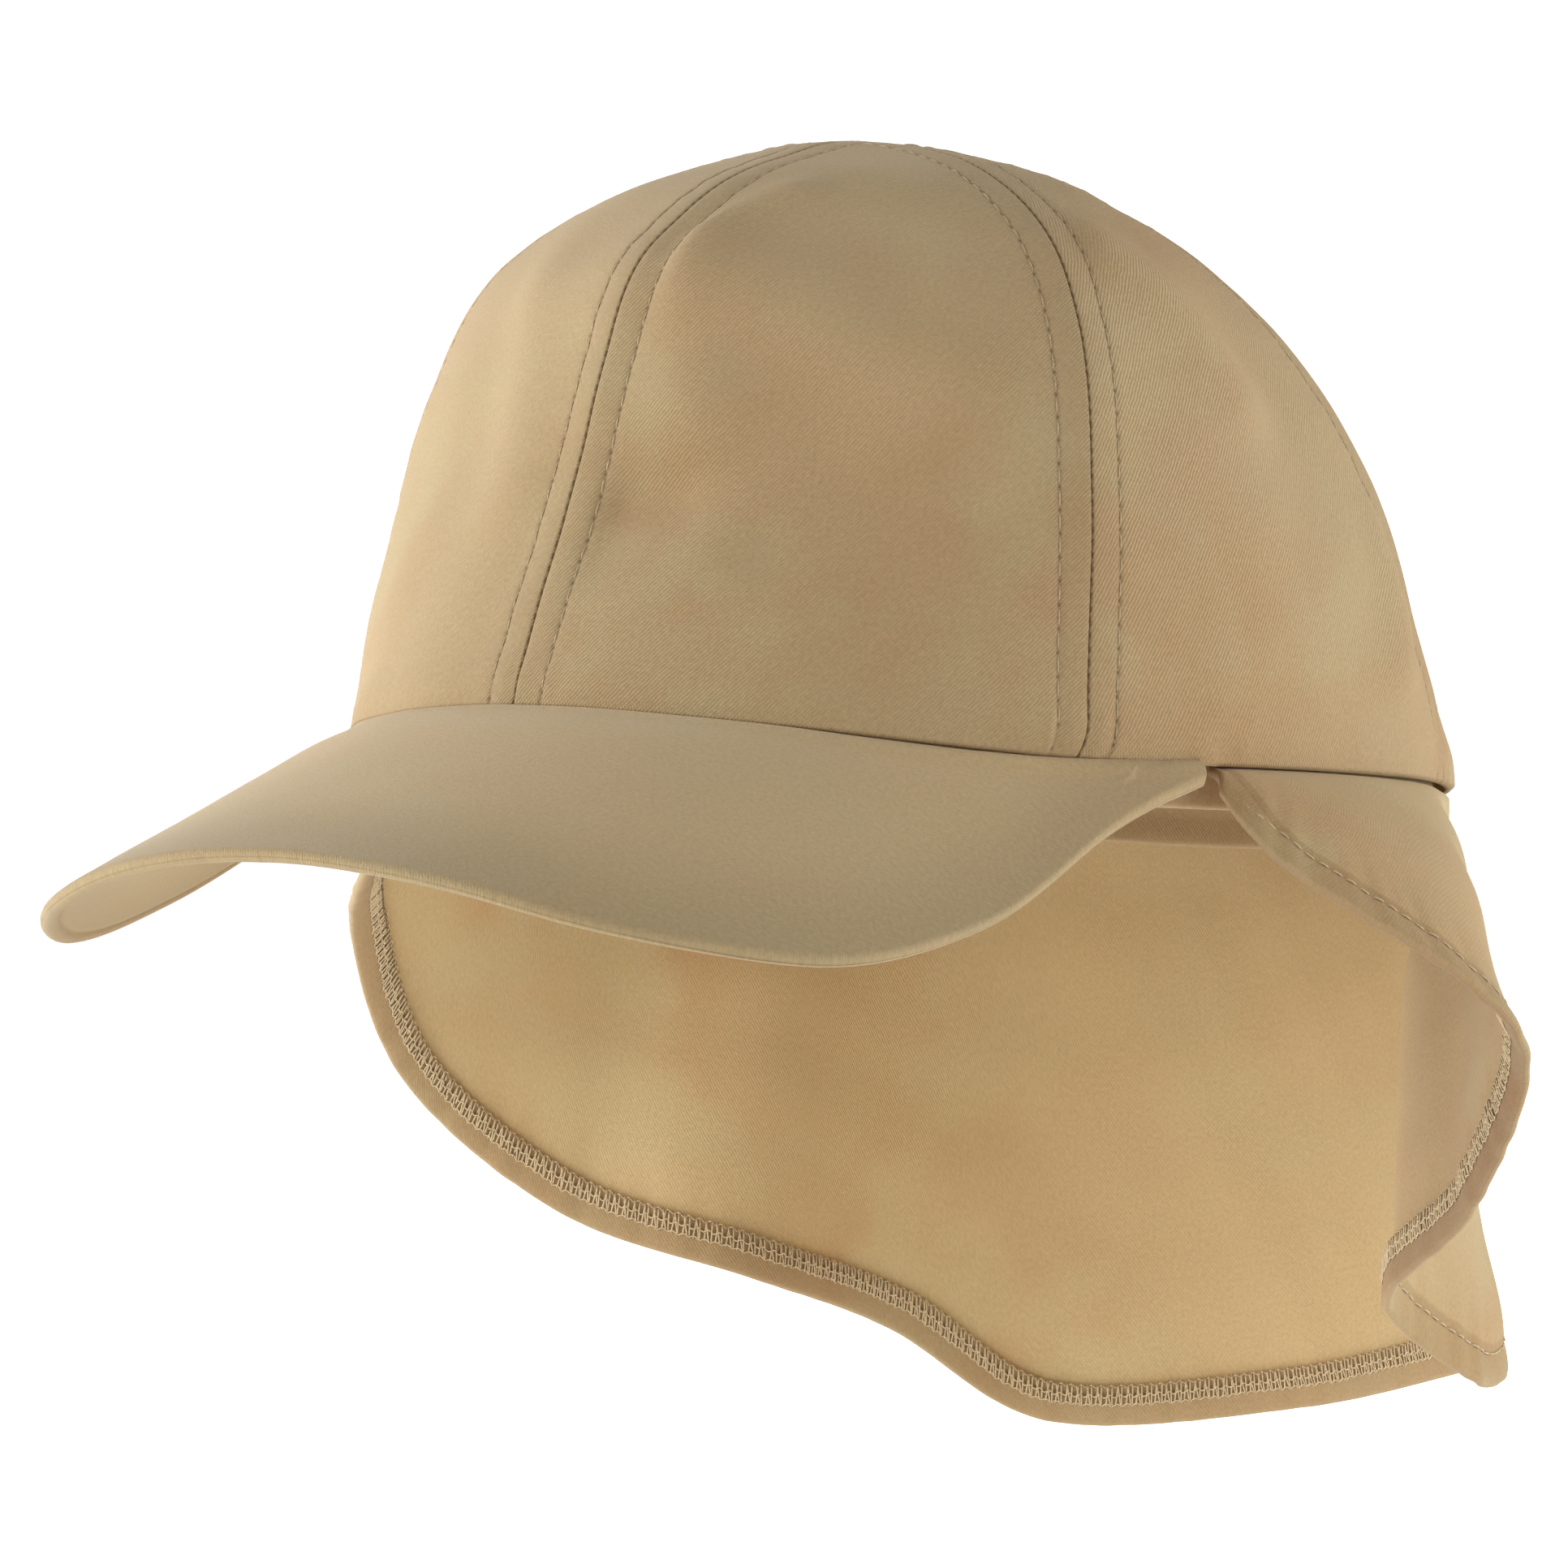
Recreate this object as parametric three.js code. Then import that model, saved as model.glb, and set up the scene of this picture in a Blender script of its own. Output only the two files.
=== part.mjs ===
import * as THREE from 'three';

// A child's sun cap: six crown panels, a curved peak, an inner band and a flap that hangs over the neck.
// Millimetres, +Z up. The wearer faces -Y and the wearer's left is +X.
// The origin is the middle of the head opening. Angles run from the front towards the wearer's left.

// Driving sizes of the crown
const rimHalfWidth = 73.5;
const rimHalfLength = 88.2;
const crownHeight = 89.8;
const crownWall = 1.1;
const sideSeamAngle = 61.3;
const rearSeamAngle = 120;
const seamGap = 0.3;
const seamDip = 0.6;
const seamDipReach = 5;
const rollTuck = 0.9;
const rollHeight = 3;

// Driving sizes of the peak
const peakReach = 53;
const peakCornerAngle = 74.3;
const peakThickness = 2.2;
const peakSlope = 0.368;
const peakArch = 32.2;
const peakArchPower = 2.2;
const peakLift = 1.2;
const peakSeatReach = 14;

// Driving sizes of the neck flap
const flapDrop = 100;
const flapWall = 1;
const flapTuck = 3;
const hemWidth = 6.5;
const hemExtra = 0.9;
// Brings the belly of the flap to its full swell at its fullest place, a third of the way down
const fullSwell = 6.75;

// Driving sizes of the inner band
const bandHeight = 22;
const bandWall = 1;
const bandHang = 6;

// Clearances between the layers that are sewn together at the rim
const layerGap = 0.5;
const peakSeatGap = 0.35;
const flapInset = rollTuck + crownWall + layerGap;
const bandInset = flapInset + flapWall + layerGap;

// Height of the rim seam at even steps of angle, as a share of crownHeight
const rimSeam = [
  { angle: 0, rise: 0.108 },
  { angle: 30, rise: 0.08 },
  { angle: 60, rise: 0.029 },
  { angle: 90, rise: 0.003 },
  { angle: 120, rise: -0.026 },
  { angle: 150, rise: -0.068 },
  { angle: 180, rise: -0.087 },
];

// Crown sections from the rim to the top: rise is a share of the way up, front and back are shares of
// rimHalfLength, side is a share of rimHalfWidth. flat is how far each panel lies straight between its seams,
// and the side and rear seams turn towards the back by sideTurn and rearTurn degrees
const crownSections = [
  { rise: 0.0, front: 1.0, side: 1.0, back: 1.0, flat: 0.0, sideTurn: 0.0, rearTurn: 0.0 },
  { rise: 0.2, front: 0.93, side: 1.009, back: 0.892, flat: 0.16, sideTurn: -1.1, rearTurn: -2.5 },
  { rise: 0.4, front: 0.846, side: 0.988, back: 0.757, flat: 0.38, sideTurn: -1.3, rearTurn: -2.6 },
  { rise: 0.6, front: 0.774, side: 0.911, back: 0.59, flat: 0.49, sideTurn: 1.3, rearTurn: 0.0 },
  { rise: 0.78, front: 0.677, side: 0.758, back: 0.409, flat: 0.5, sideTurn: 6.0, rearTurn: 2.6 },
  { rise: 0.91, front: 0.491, side: 0.527, back: 0.164, flat: 0.5, sideTurn: 10.2, rearTurn: 6.1 },
  { rise: 0.98, front: 0.264, side: 0.225, back: 0.008, flat: 0.5, sideTurn: 13.3, rearTurn: 7.6 },
  { rise: 1.0, front: 0.128, side: 0.0, back: -0.128, flat: 0.5, sideTurn: 13.3, rearTurn: 7.6 },
];

// Soft dents of the crown cloth: angle and spread in degrees, climb and length as shares of the way from
// the rim to the top, depth as a share of crownHeight
const crownDents = [
  { angle: 100, climb: 0.42, depth: 0.012, spread: 9, length: 0.1 },
  { angle: 128, climb: 0.55, depth: 0.014, spread: 10, length: 0.05 },
  { angle: 131, climb: 0.68, depth: 0.013, spread: 14, length: 0.035 },
  { angle: 38, climb: 0.5, depth: 0.009, spread: 9, length: 0.12 },
  { angle: -30, climb: 0.4, depth: 0.009, spread: 10, length: 0.13 },
  { angle: -92, climb: 0.45, depth: 0.011, spread: 12, length: 0.12 },
  { angle: -140, climb: 0.5, depth: 0.013, spread: 12, length: 0.07 },
];

// Outline of the peak from its middle to its corner: out is a share of rimHalfWidth, ahead is a share of
// the way from the corner to the foremost point
const peakOutline = [
  { out: 0.0, ahead: 1.0 },
  { out: 0.328, ahead: 0.986 },
  { out: 0.654, ahead: 0.903 },
  { out: 0.914, ahead: 0.707 },
  { out: 1.007, ahead: 0.466 },
  { out: 0.993, ahead: 0.213 },
  { out: 0.985, ahead: 0.02 },
];

// Stations of the flap from its front corner to the middle of the back. The rim angle is in degrees. The
// hem's out is a share of rimHalfWidth, its back a share of rimHalfLength, its drops on the wearer's left
// and right are shares of flapDrop, and swell is how far the cloth bellies out a third of the way down, as
// a share of rimHalfWidth
const flapStations = [
  { rimAngle: 75.6, out: 0.945, back: -0.258, leftDrop: 0.012, rightDrop: 0.012, swell: 0.0 },
  { rimAngle: 83, out: 1.146, back: -0.253, leftDrop: 0.123, rightDrop: 0.161, swell: 0.029 },
  { rimAngle: 92, out: 1.389, back: -0.052, leftDrop: 0.279, rightDrop: 0.271, swell: 0.059 },
  { rimAngle: 101, out: 1.399, back: 0.104, leftDrop: 0.407, rightDrop: 0.494, swell: 0.081 },
  { rimAngle: 110, out: 1.14, back: 0.259, leftDrop: 0.628, rightDrop: 0.691, swell: 0.086 },
  { rimAngle: 122, out: 0.806, back: 0.428, leftDrop: 0.777, rightDrop: 0.788, swell: -0.011 },
  { rimAngle: 138, out: 0.757, back: 0.758, leftDrop: 0.91, rightDrop: 0.879, swell: -0.003 },
  { rimAngle: 158, out: 0.563, back: 1.016, leftDrop: 0.903, rightDrop: 1.028, swell: 0.007 },
  { rimAngle: 180, out: 0.0, back: 1.14, leftDrop: 0.992, rightDrop: 0.99, swell: 0.01 },
];

// Places of the grid lines, as shares
const panelAcross = [0, 0.06, 0.16, 0.32, 0.5, 0.68, 0.84, 0.94, 1];
const panelClimb = [0, 0.012, 0.03, 0.1, 0.2, 0.3, 0.4, 0.5, 0.6, 0.7, 0.79, 0.87, 0.94, 0.985];
const peakAcrossSteps = 32;
const peakAhead = [0, 0.12, 0.3, 0.5, 0.7, 0.86, 0.95, 1];
const flapSteps = 56;
const flapStart = 0.009;
const flapAboveHem = [0, 0.16, 0.34, 0.52, 0.7, 0.86, 1];
const shortestAboveHem = 0.3;
const hemStep = 0.15;
const bandSteps = 60;
const bandClimb = [0, 0.35, 0.7, 1];

const { degToRad, lerp, clamp } = THREE.MathUtils;

// Smooth curve through a column of a table whose rows are evenly spaced. mirrored says that the rows go on
// past both ends as in a mirror
function readTable(rows, column, share, mirrored = false) {
  const last = rows.length - 1;
  const place = clamp(share, 0, 1) * last;
  const i = Math.min(Math.floor(place), last - 1);
  const f = place - i;
  const before = mirrored ? Math.abs(i - 1) : Math.max(i - 1, 0);
  const after = mirrored ? last - Math.abs(last - i - 2) : Math.min(i + 2, last);
  const [a, b, c, d] = [before, i, i + 1, after].map((row) => rows[row][column]);
  const bend = (2 * a - 5 * b + 4 * c - d) * f * f + (3 * b - a - 3 * c + d) * f * f * f;
  return b + 0.5 * ((c - a) * f + bend);
}

function rimHeight(angle) {
  const turn = Math.abs(THREE.MathUtils.euclideanModulo(angle + 180, 360) - 180);
  return crownHeight * readTable(rimSeam, 'rise', turn / 180, true);
}

// A point under the rim seam, moved in towards the head and down
function rimPoint(angle, inset, drop) {
  const t = degToRad(angle);
  const inward = new THREE.Vector3(-Math.sin(t) / rimHalfWidth, Math.cos(t) / rimHalfLength, 0).normalize();
  const point = new THREE.Vector3(rimHalfWidth * Math.sin(t), -rimHalfLength * Math.cos(t), rimHeight(angle));
  point.addScaledVector(inward, inset);
  point.z -= drop;
  return point;
}

// The crown before it is dented: climb runs from 0 at the rim to 1 at the top. Each panel lies partly flat
// between its seams unless the plain round form is asked for
function crownForm(angle, climb, plainRound = false) {
  const read = (column) => readTable(crownSections, column, climb);
  const turned = THREE.MathUtils.euclideanModulo(angle + 180, 360) - 180;
  const atRim = [0, sideSeamAngle, rearSeamAngle, 180];
  const turnedBack = [0, sideSeamAngle + read('sideTurn'), rearSeamAngle + read('rearTurn'), 180];
  const next = atRim.findIndex((seam, k) => k > 0 && Math.abs(turned) <= seam);
  const share = (Math.abs(turned) - atRim[next - 1]) / (atRim[next] - atRim[next - 1]);
  const front = rimHalfLength * read('front');
  const back = rimHalfLength * read('back');
  const onRound = (seamAngle) => {
    const t = degToRad(seamAngle);
    const x = rimHalfWidth * read('side') * Math.sin(t);
    return new THREE.Vector3(x, (back - front) / 2 - ((back + front) / 2) * Math.cos(t), 0);
  };
  const from = turnedBack[next - 1];
  const to = turnedBack[next];
  const straight = onRound(from).lerp(onRound(to), share);
  const point = onRound(lerp(from, to, share)).lerp(straight, plainRound ? 0 : read('flat'));
  const z = lerp(rimHeight(angle), crownHeight, read('rise'));
  return new THREE.Vector3(Math.sign(turned) * point.x, point.y, z);
}

function aboveRim(climb) {
  return crownHeight * readTable(crownSections, 'rise', climb);
}

// Climb of a low place on the crown that is a few millimetres above the rim seam
function climbAt(height) {
  return height / crownHeight / crownSections[1].rise / (crownSections.length - 1);
}

// Outward direction of the crown, level at the rim so that the seam's edge is cut level
function crownOutward(angle, climb) {
  const turn = 1;
  const step = 0.02;
  const low = Math.max(climb - step / 2, 0);
  const along = crownForm(angle + turn, climb, true).sub(crownForm(angle - turn, climb, true));
  const up = crownForm(angle, low + step, true).sub(crownForm(angle, low, true));
  const outward = along.cross(up).normalize();
  outward.z *= Math.min(aboveRim(climb) / rollHeight, 1);
  return outward.normalize();
}

function dentDepth(angle, climb) {
  let depth = 0;
  for (const dent of crownDents) {
    const aside = (angle - dent.angle) / dent.spread;
    const above = (climb - dent.climb) / dent.length;
    depth += crownHeight * dent.depth * Math.exp(-aside * aside - above * above);
  }
  return depth;
}

// How far the cloth curls in over the rim seam
function rollDepth(climb) {
  return rollTuck * Math.max(1 - aboveRim(climb) / rollHeight, 0) ** 2;
}

function insideCrown(angle, climb, depth) {
  return crownForm(angle, climb).addScaledVector(crownOutward(angle, climb), -depth);
}

// A grid of points moved along its own normals, which point away from the side that its rows turn to
function offsetGrid(grid, distance) {
  const lastColumn = grid.length - 1;
  return grid.map((line, i) =>
    line.map((point, j) => {
      const along = grid[Math.min(i + 1, lastColumn)][j].clone().sub(grid[Math.max(i - 1, 0)][j]);
      const down = line[Math.min(j + 1, line.length - 1)].clone().sub(line[Math.max(j - 1, 0)]);
      const outward = down.cross(along).normalize();
      return point.clone().addScaledVector(outward, distance(i, j));
    }),
  );
}

// A closed sheet of cloth between two grids of points, whose columns run to the wearer's left round the
// front. upwards says that its rows climb, ring that its last column joins its first
function clothSheet(outer, inner, { upwards = true, ring = false } = {}) {
  const columns = outer.length;
  const rows = outer[0].length;
  const positions = [];
  const triangles = [];
  for (const grid of [outer, inner]) {
    for (const line of grid) {
      for (const point of line) {
        positions.push(point.x, point.y, point.z);
      }
    }
  }
  const outerAt = (i, j) => (i % columns) * rows + j;
  const innerAt = (i, j) => columns * rows + outerAt(i, j);
  const addQuad = (a, b, c, d) => {
    const corners = upwards ? [a, b, c, d] : [d, c, b, a];
    triangles.push(corners[0], corners[1], corners[2], corners[0], corners[2], corners[3]);
  };
  const cells = ring ? columns : columns - 1;
  for (let i = 0; i < cells; i += 1) {
    for (let j = 0; j < rows - 1; j += 1) {
      addQuad(outerAt(i, j), outerAt(i + 1, j), outerAt(i + 1, j + 1), outerAt(i, j + 1));
      addQuad(innerAt(i, j), innerAt(i, j + 1), innerAt(i + 1, j + 1), innerAt(i + 1, j));
    }
    addQuad(innerAt(i, 0), innerAt(i + 1, 0), outerAt(i + 1, 0), outerAt(i, 0));
    addQuad(outerAt(i, rows - 1), outerAt(i + 1, rows - 1), innerAt(i + 1, rows - 1), innerAt(i, rows - 1));
  }
  if (!ring) {
    for (let j = 0; j < rows - 1; j += 1) {
      addQuad(innerAt(0, j), outerAt(0, j), outerAt(0, j + 1), innerAt(0, j + 1));
      const end = columns - 1;
      addQuad(outerAt(end, j), innerAt(end, j), innerAt(end, j + 1), outerAt(end, j + 1));
    }
  }
  const geometry = new THREE.BufferGeometry();
  geometry.setAttribute('position', new THREE.Float32BufferAttribute(positions, 3));
  geometry.setIndex(triangles);
  geometry.computeVertexNormals();
  return geometry;
}

// One crown panel between two seams
function crownPanel(fromAngle, toAngle) {
  const layer = (wall) =>
    panelAcross.map((across) =>
      panelClimb.map((climb) => {
        const width = crownForm(fromAngle, climb).distanceTo(crownForm(toAngle, climb));
        const trim = seamGap / 2 / width;
        const angle = lerp(fromAngle, toAngle, trim + across * (1 - 2 * trim));
        const fromSeam = width * Math.min(across, 1 - across);
        const roll = rollDepth(climb);
        const dip = seamDip * (1 - roll / rollTuck) * Math.exp(-((fromSeam / seamDipReach) ** 2));
        return insideCrown(angle, climb, dip + dentDepth(angle, climb) + roll + wall);
      }),
    );
  return clothSheet(layer(0), layer(crownWall));
}

// Middle of the peak's thickness: across runs from -1 to 1 between the corners, ahead from 0 at the rim
// to 1 at the free edge
function peakPoint(across, ahead) {
  const angle = across * peakCornerAngle;
  const root = rimPoint(angle, flapInset, 0);
  const cornerBack = rimHalfLength * Math.cos(degToRad(peakCornerAngle));
  const foremost = rimHalfLength + peakReach;
  const share = Math.abs(across);
  const edgeX = Math.sign(across) * rimHalfWidth * readTable(peakOutline, 'out', share);
  const edgeY = -lerp(cornerBack, foremost, readTable(peakOutline, 'ahead', share));
  const x = lerp(root.x, edgeX, ahead);
  const y = lerp(root.y, edgeY, ahead);
  const bowed = peakField(x, y);
  const seated = root.z - peakSeatGap - peakThickness / 2 - peakField(root.x, root.y);
  const fromRoot = Math.hypot(x - root.x, y - root.y);
  const fade = Math.max(1 - fromRoot / peakSeatReach, 0) ** 2;
  return new THREE.Vector3(x, y, bowed + seated * fade);
}

// Height of the bowed peak over a place in plan
function peakField(x, y) {
  const past = -y - rimHalfLength;
  const start = rimHeight(0) + peakLift - peakThickness / 2;
  return start - peakSlope * past - peakArch * (Math.abs(x) / rimHalfWidth) ** peakArchPower;
}

function peakShell() {
  const grid = [];
  for (let i = 0; i <= peakAcrossSteps; i += 1) {
    const across = (2 * i) / peakAcrossSteps - 1;
    grid.push(peakAhead.map((ahead) => peakPoint(across, ahead)));
  }
  const top = offsetGrid(grid, () => peakThickness / 2);
  const underside = offsetGrid(grid, () => -peakThickness / 2);
  return clothSheet(top, underside, { upwards: false });
}

// Rows of the whole flap, from the wearer's left corner round the back to the right one
const leftFlapRows = flapStations.map(({ rimAngle, out, back, leftDrop, swell }) => {
  return { rimAngle, out, back, drop: leftDrop, swell };
});
const rightFlapRows = flapStations.slice(0, -1).map(({ rimAngle, out, back, rightDrop, swell }) => {
  return { rimAngle: 360 - rimAngle, out: -out, back, drop: rightDrop, swell };
});
const flapRows = [...leftFlapRows, ...rightFlapRows.reverse()];

// Outer face of the flap: around runs from 0 at the left corner to 1 at the right one, down from 0 at the
// rim to 1 at the hem
function flapPoint(around, down) {
  const top = rimPoint(readTable(flapRows, 'rimAngle', around), flapInset, 0);
  const hem = new THREE.Vector3(
    rimHalfWidth * readTable(flapRows, 'out', around),
    rimHalfLength * readTable(flapRows, 'back', around),
    -flapDrop * readTable(flapRows, 'drop', around),
  );
  const point = top.lerp(hem, down);
  const outward = new THREE.Vector3(point.x, point.y, 0).normalize();
  const belly = fullSwell * down * (1 - down) ** 2;
  return point.addScaledVector(outward, rimHalfWidth * readTable(flapRows, 'swell', around) * belly);
}

function neckFlapShell() {
  const grid = [];
  const hemShares = [];
  for (let i = 0; i <= flapSteps; i += 1) {
    const around = lerp(flapStart, 1 - flapStart, i / flapSteps);
    const rimAngle = readTable(flapRows, 'rimAngle', around);
    const length = flapPoint(around, 0).distanceTo(flapPoint(around, 1));
    const hemStart = Math.max(1 - hemWidth / length, shortestAboveHem);
    const line = [insideCrown(rimAngle, climbAt(flapTuck), flapInset)];
    for (const share of flapAboveHem) {
      line.push(flapPoint(around, hemStart * share));
    }
    line.push(flapPoint(around, lerp(hemStart, 1, hemStep)));
    line.push(flapPoint(around, 1));
    grid.push(line);
    hemShares.push(clamp((length - 2 * hemWidth) / hemWidth, 0, 1));
  }
  const hemRow = flapAboveHem.length + 1;
  const inner = offsetGrid(grid, (i, j) => -flapWall - (j >= hemRow ? hemExtra * hemShares[i] : 0));
  return clothSheet(grid, inner, { upwards: false });
}

// The band stands inside the crown and hangs a little below the rim seam
function innerBandShell() {
  const layer = (wall) => {
    const grid = [];
    for (let i = 0; i < bandSteps; i += 1) {
      const angle = (360 * i) / bandSteps;
      const line = [rimPoint(angle, bandInset + layerGap + wall, bandHang)];
      for (const share of bandClimb) {
        line.push(insideCrown(angle, climbAt(share * bandHeight), bandInset + wall));
      }
      grid.push(line);
    }
    return grid;
  };
  return clothSheet(layer(0), layer(bandWall), { ring: true });
}

const crownTwill = new THREE.MeshStandardMaterial({ color: 0xbfa67f, roughness: 0.9, metalness: 0 });
const peakTwill = new THREE.MeshStandardMaterial({ color: 0xbca37c, roughness: 0.88, metalness: 0 });
const flapTwill = new THREE.MeshStandardMaterial({ color: 0xc6a677, roughness: 0.9, metalness: 0 });
const bandTwill = new THREE.MeshStandardMaterial({ color: 0xa98d62, roughness: 0.92, metalness: 0 });

const cap = new THREE.Group();

function addPiece(name, geometry, material) {
  const mesh = new THREE.Mesh(geometry, material);
  mesh.name = name;
  cap.add(mesh);
}

const panels = [
  { name: 'front_panel', from: 0, to: sideSeamAngle },
  { name: 'side_panel', from: sideSeamAngle, to: rearSeamAngle },
  { name: 'back_panel', from: rearSeamAngle, to: 180 },
];
for (const { name, from, to } of panels) {
  addPiece(`${name}_left`, crownPanel(from, to), crownTwill);
  addPiece(`${name}_right`, crownPanel(-to, -from), crownTwill);
}
addPiece('peak', peakShell(), peakTwill);
addPiece('neck_flap', neckFlapShell(), flapTwill);
addPiece('inner_band', innerBandShell(), bandTwill);

export default cap;
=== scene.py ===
import math

import bpy
import numpy as np
from mathutils import Matrix, Vector


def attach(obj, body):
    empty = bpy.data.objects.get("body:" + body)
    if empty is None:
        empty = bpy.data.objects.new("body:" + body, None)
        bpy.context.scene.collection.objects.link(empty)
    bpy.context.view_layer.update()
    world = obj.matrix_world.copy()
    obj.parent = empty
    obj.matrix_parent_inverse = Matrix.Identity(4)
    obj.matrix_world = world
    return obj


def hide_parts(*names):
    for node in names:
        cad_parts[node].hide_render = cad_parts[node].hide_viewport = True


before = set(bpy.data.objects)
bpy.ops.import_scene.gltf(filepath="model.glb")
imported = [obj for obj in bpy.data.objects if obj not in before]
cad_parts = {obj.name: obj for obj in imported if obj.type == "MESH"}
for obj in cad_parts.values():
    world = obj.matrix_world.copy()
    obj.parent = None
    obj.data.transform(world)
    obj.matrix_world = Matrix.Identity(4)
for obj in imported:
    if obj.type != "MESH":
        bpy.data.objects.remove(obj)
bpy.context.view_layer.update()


# Camera. It looks at the cap from the front and the wearer's left, almost level, from about 1.4 m.
# Shapes are worked out in millimetres all through, and each mesh is made in metres.
MM = 0.001
camera_azimuth = 38.5
camera_elevation = 1.3
camera_distance = 1429.6
aim_right = -17.54
aim_up = -2.56


def way_out(azimuth, elevation):
    """The way out from the cap. The azimuth is counted from its front towards the wearer's left."""
    a, e = math.radians(azimuth), math.radians(elevation)
    return Vector((math.sin(a) * math.cos(e), -math.cos(a) * math.cos(e), math.sin(e)))


back = way_out(camera_azimuth, camera_elevation)
right = way_out(camera_azimuth + 90, 0)
up = back.cross(right)
camera_data = bpy.data.cameras.new("camera")
camera_data.lens = 227.5
camera_data.sensor_width = 36.0
camera_data.clip_start = 0.05
camera_data.clip_end = 100
camera = bpy.data.objects.new("camera", camera_data)
turn = Matrix((right, up, back)).transposed()
eye = right * aim_right + up * aim_up + back * camera_distance
camera.matrix_world = Matrix.Translation(eye * MM) @ turn.to_4x4()
bpy.context.scene.collection.objects.link(camera)
bpy.context.scene.camera = camera


# Crown. Six panels of brushed cotton twill, sewn edge to edge, with the seam allowances pressed open and
# topstitched down on both sides. The cloth curls in under the rim where the peak and the flap are sewn on.
rim_half_width = 73.5
rim_half_length = 88.2
crown_height = 89.8
side_seam_angle = 61.3
rear_seam_angle = 120.0
seam_angles = (-rear_seam_angle, -side_seam_angle, 0.0, side_seam_angle, rear_seam_angle, 180.0)
crown_cloth = 0.9
seam_row = 4.6
stitch_pitch = 3.3
stitch_stagger = 1.1
row_stops_short = 10.1
# How far the sewn cloth rises and sinks, and where
joint_depth = 0.34
joint_hollow = 0.07
allowance_rise = 0.08
allowance_end = 5.0
allowance_fade = 7.6
row_depth = 0.09
hole_depth = 0.14
fold_strength = 1.3
back_fullness = 0.8
fullness_height = 9.0
rim_roll = 0.6
rim_puff = 0.35
puff_height = 4.0
pinch_angle = 74.8
pinch_rise = 1.0
pinch_hollow = 0.6
pinch_lean = 0.4
seam_lean = 1.8
lean_height = 6.0
inside_relief = 0.7
# The mesh is finest where the rim curls and beside the seams: rows above the rim, columns from a seam
rim_rows = (0, 0.3, 0.6, 0.95, 1.35, 1.8, 2.4, 3.1, 3.8)
first_even_row = 4.5
row_step = 0.74
top_climb = 0.9995
seam_columns = (
    0.02, 0.1, 0.2, 0.33, 0.55, 1.0, 1.8, 3.0, 3.9, 4.25, 4.45, 4.6, 4.75, 4.95, 5.4, 6.4, 7.8, 9.8,
)
panel_columns = 14

rim_seam = (0.108, 0.08, 0.029, 0.003, -0.026, -0.068, -0.087)
crown_sections = {
    "rise": (0.0, 0.2, 0.4, 0.6, 0.78, 0.91, 0.98, 1.0),
    "front": (1.0, 0.93, 0.846, 0.774, 0.677, 0.491, 0.264, 0.128),
    "side": (1.0, 1.009, 0.988, 0.911, 0.758, 0.527, 0.225, 0.0),
    "back": (1.0, 0.892, 0.757, 0.59, 0.409, 0.164, 0.008, -0.128),
    "flat": (0.0, 0.16, 0.38, 0.49, 0.5, 0.5, 0.5, 0.5),
    "side_turn": (0.0, -1.1, -1.3, 1.3, 6.0, 10.2, 13.3, 13.3),
    "rear_turn": (0.0, -2.5, -2.6, 0.0, 2.6, 6.1, 7.6, 7.6),
}
# Soft dents: angle, climb, depth in mm, spread in degrees, length as a share of the climb
crown_dents = (
    (100, 0.42, 1.1, 9, 0.10),
    (128, 0.55, 1.25, 10, 0.05),
    (131, 0.68, 1.15, 14, 0.035),
    (38, 0.50, 0.8, 9, 0.12),
    (-30, 0.40, 0.8, 10, 0.13),
    (-92, 0.45, 1.0, 12, 0.12),
    (-140, 0.50, 1.15, 12, 0.07),
)
# Soft folds between two places: angle and climb at each end, half width and height in mm
crown_folds = (
    ((2.2, 0.20), (28.8, 0.33), 8.0, -0.9),
    ((5.5, 0.60), (13.0, 0.39), 7.0, 1.1),
    ((1.8, 0.25), (13.2, 0.265), 3.5, -0.8),
    ((4.0, 0.565), (17.0, 0.695), 4.0, 0.9),
    ((-25.0, 0.54), (-10.8, 0.275), 8.0, 0.9),
    ((26.0, 0.21), (46.0, 0.30), 6.0, -1.2),
    ((20.0, 0.50), (44.0, 0.42), 8.0, 1.2),
    ((116.5, 0.28), (110.0, 0.13), 5.0, 1.2),
    ((74.0, 0.60), (92.0, 0.42), 6.5, 1.3),
    ((-100.0, 0.30), (-84.0, 0.44), 7.0, 1.4),
    ((-70.0, 0.55), (-82.0, 0.34), 6.0, 1.2),
    ((148.0, 0.52), (166.0, 0.33), 8.0, 1.4),
    ((-160.0, 0.42), (-138.0, 0.28), 8.0, 1.4),
)


def read_table(column, share, mirrored=False):
    """A smooth curve through evenly spaced values. A mirrored one runs level at both ends."""
    column = np.asarray(column, float)
    last = len(column) - 1
    place = np.clip(share, 0, 1) * last
    i = np.minimum(place.astype(int), last - 1)
    f = place - i
    before = np.abs(i - 1) if mirrored else np.maximum(i - 1, 0)
    after = last - np.abs(last - i - 2) if mirrored else np.minimum(i + 2, last)
    a, b, c, d = column[before], column[i], column[i + 1], column[after]
    bend = (2 * a - 5 * b + 4 * c - d) * f**2 + (3 * b - a - 3 * c + d) * f**3
    return b + 0.5 * ((c - a) * f + bend)


def unit(vectors):
    return vectors / np.maximum(np.linalg.norm(vectors, axis=-1, keepdims=True), 1e-9)


def turned_from_front(angle):
    return (np.asarray(angle, float) + 180) % 360 - 180


def rim_height(angle):
    return crown_height * read_table(rim_seam, np.abs(turned_from_front(angle)) / 180, True)


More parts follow.
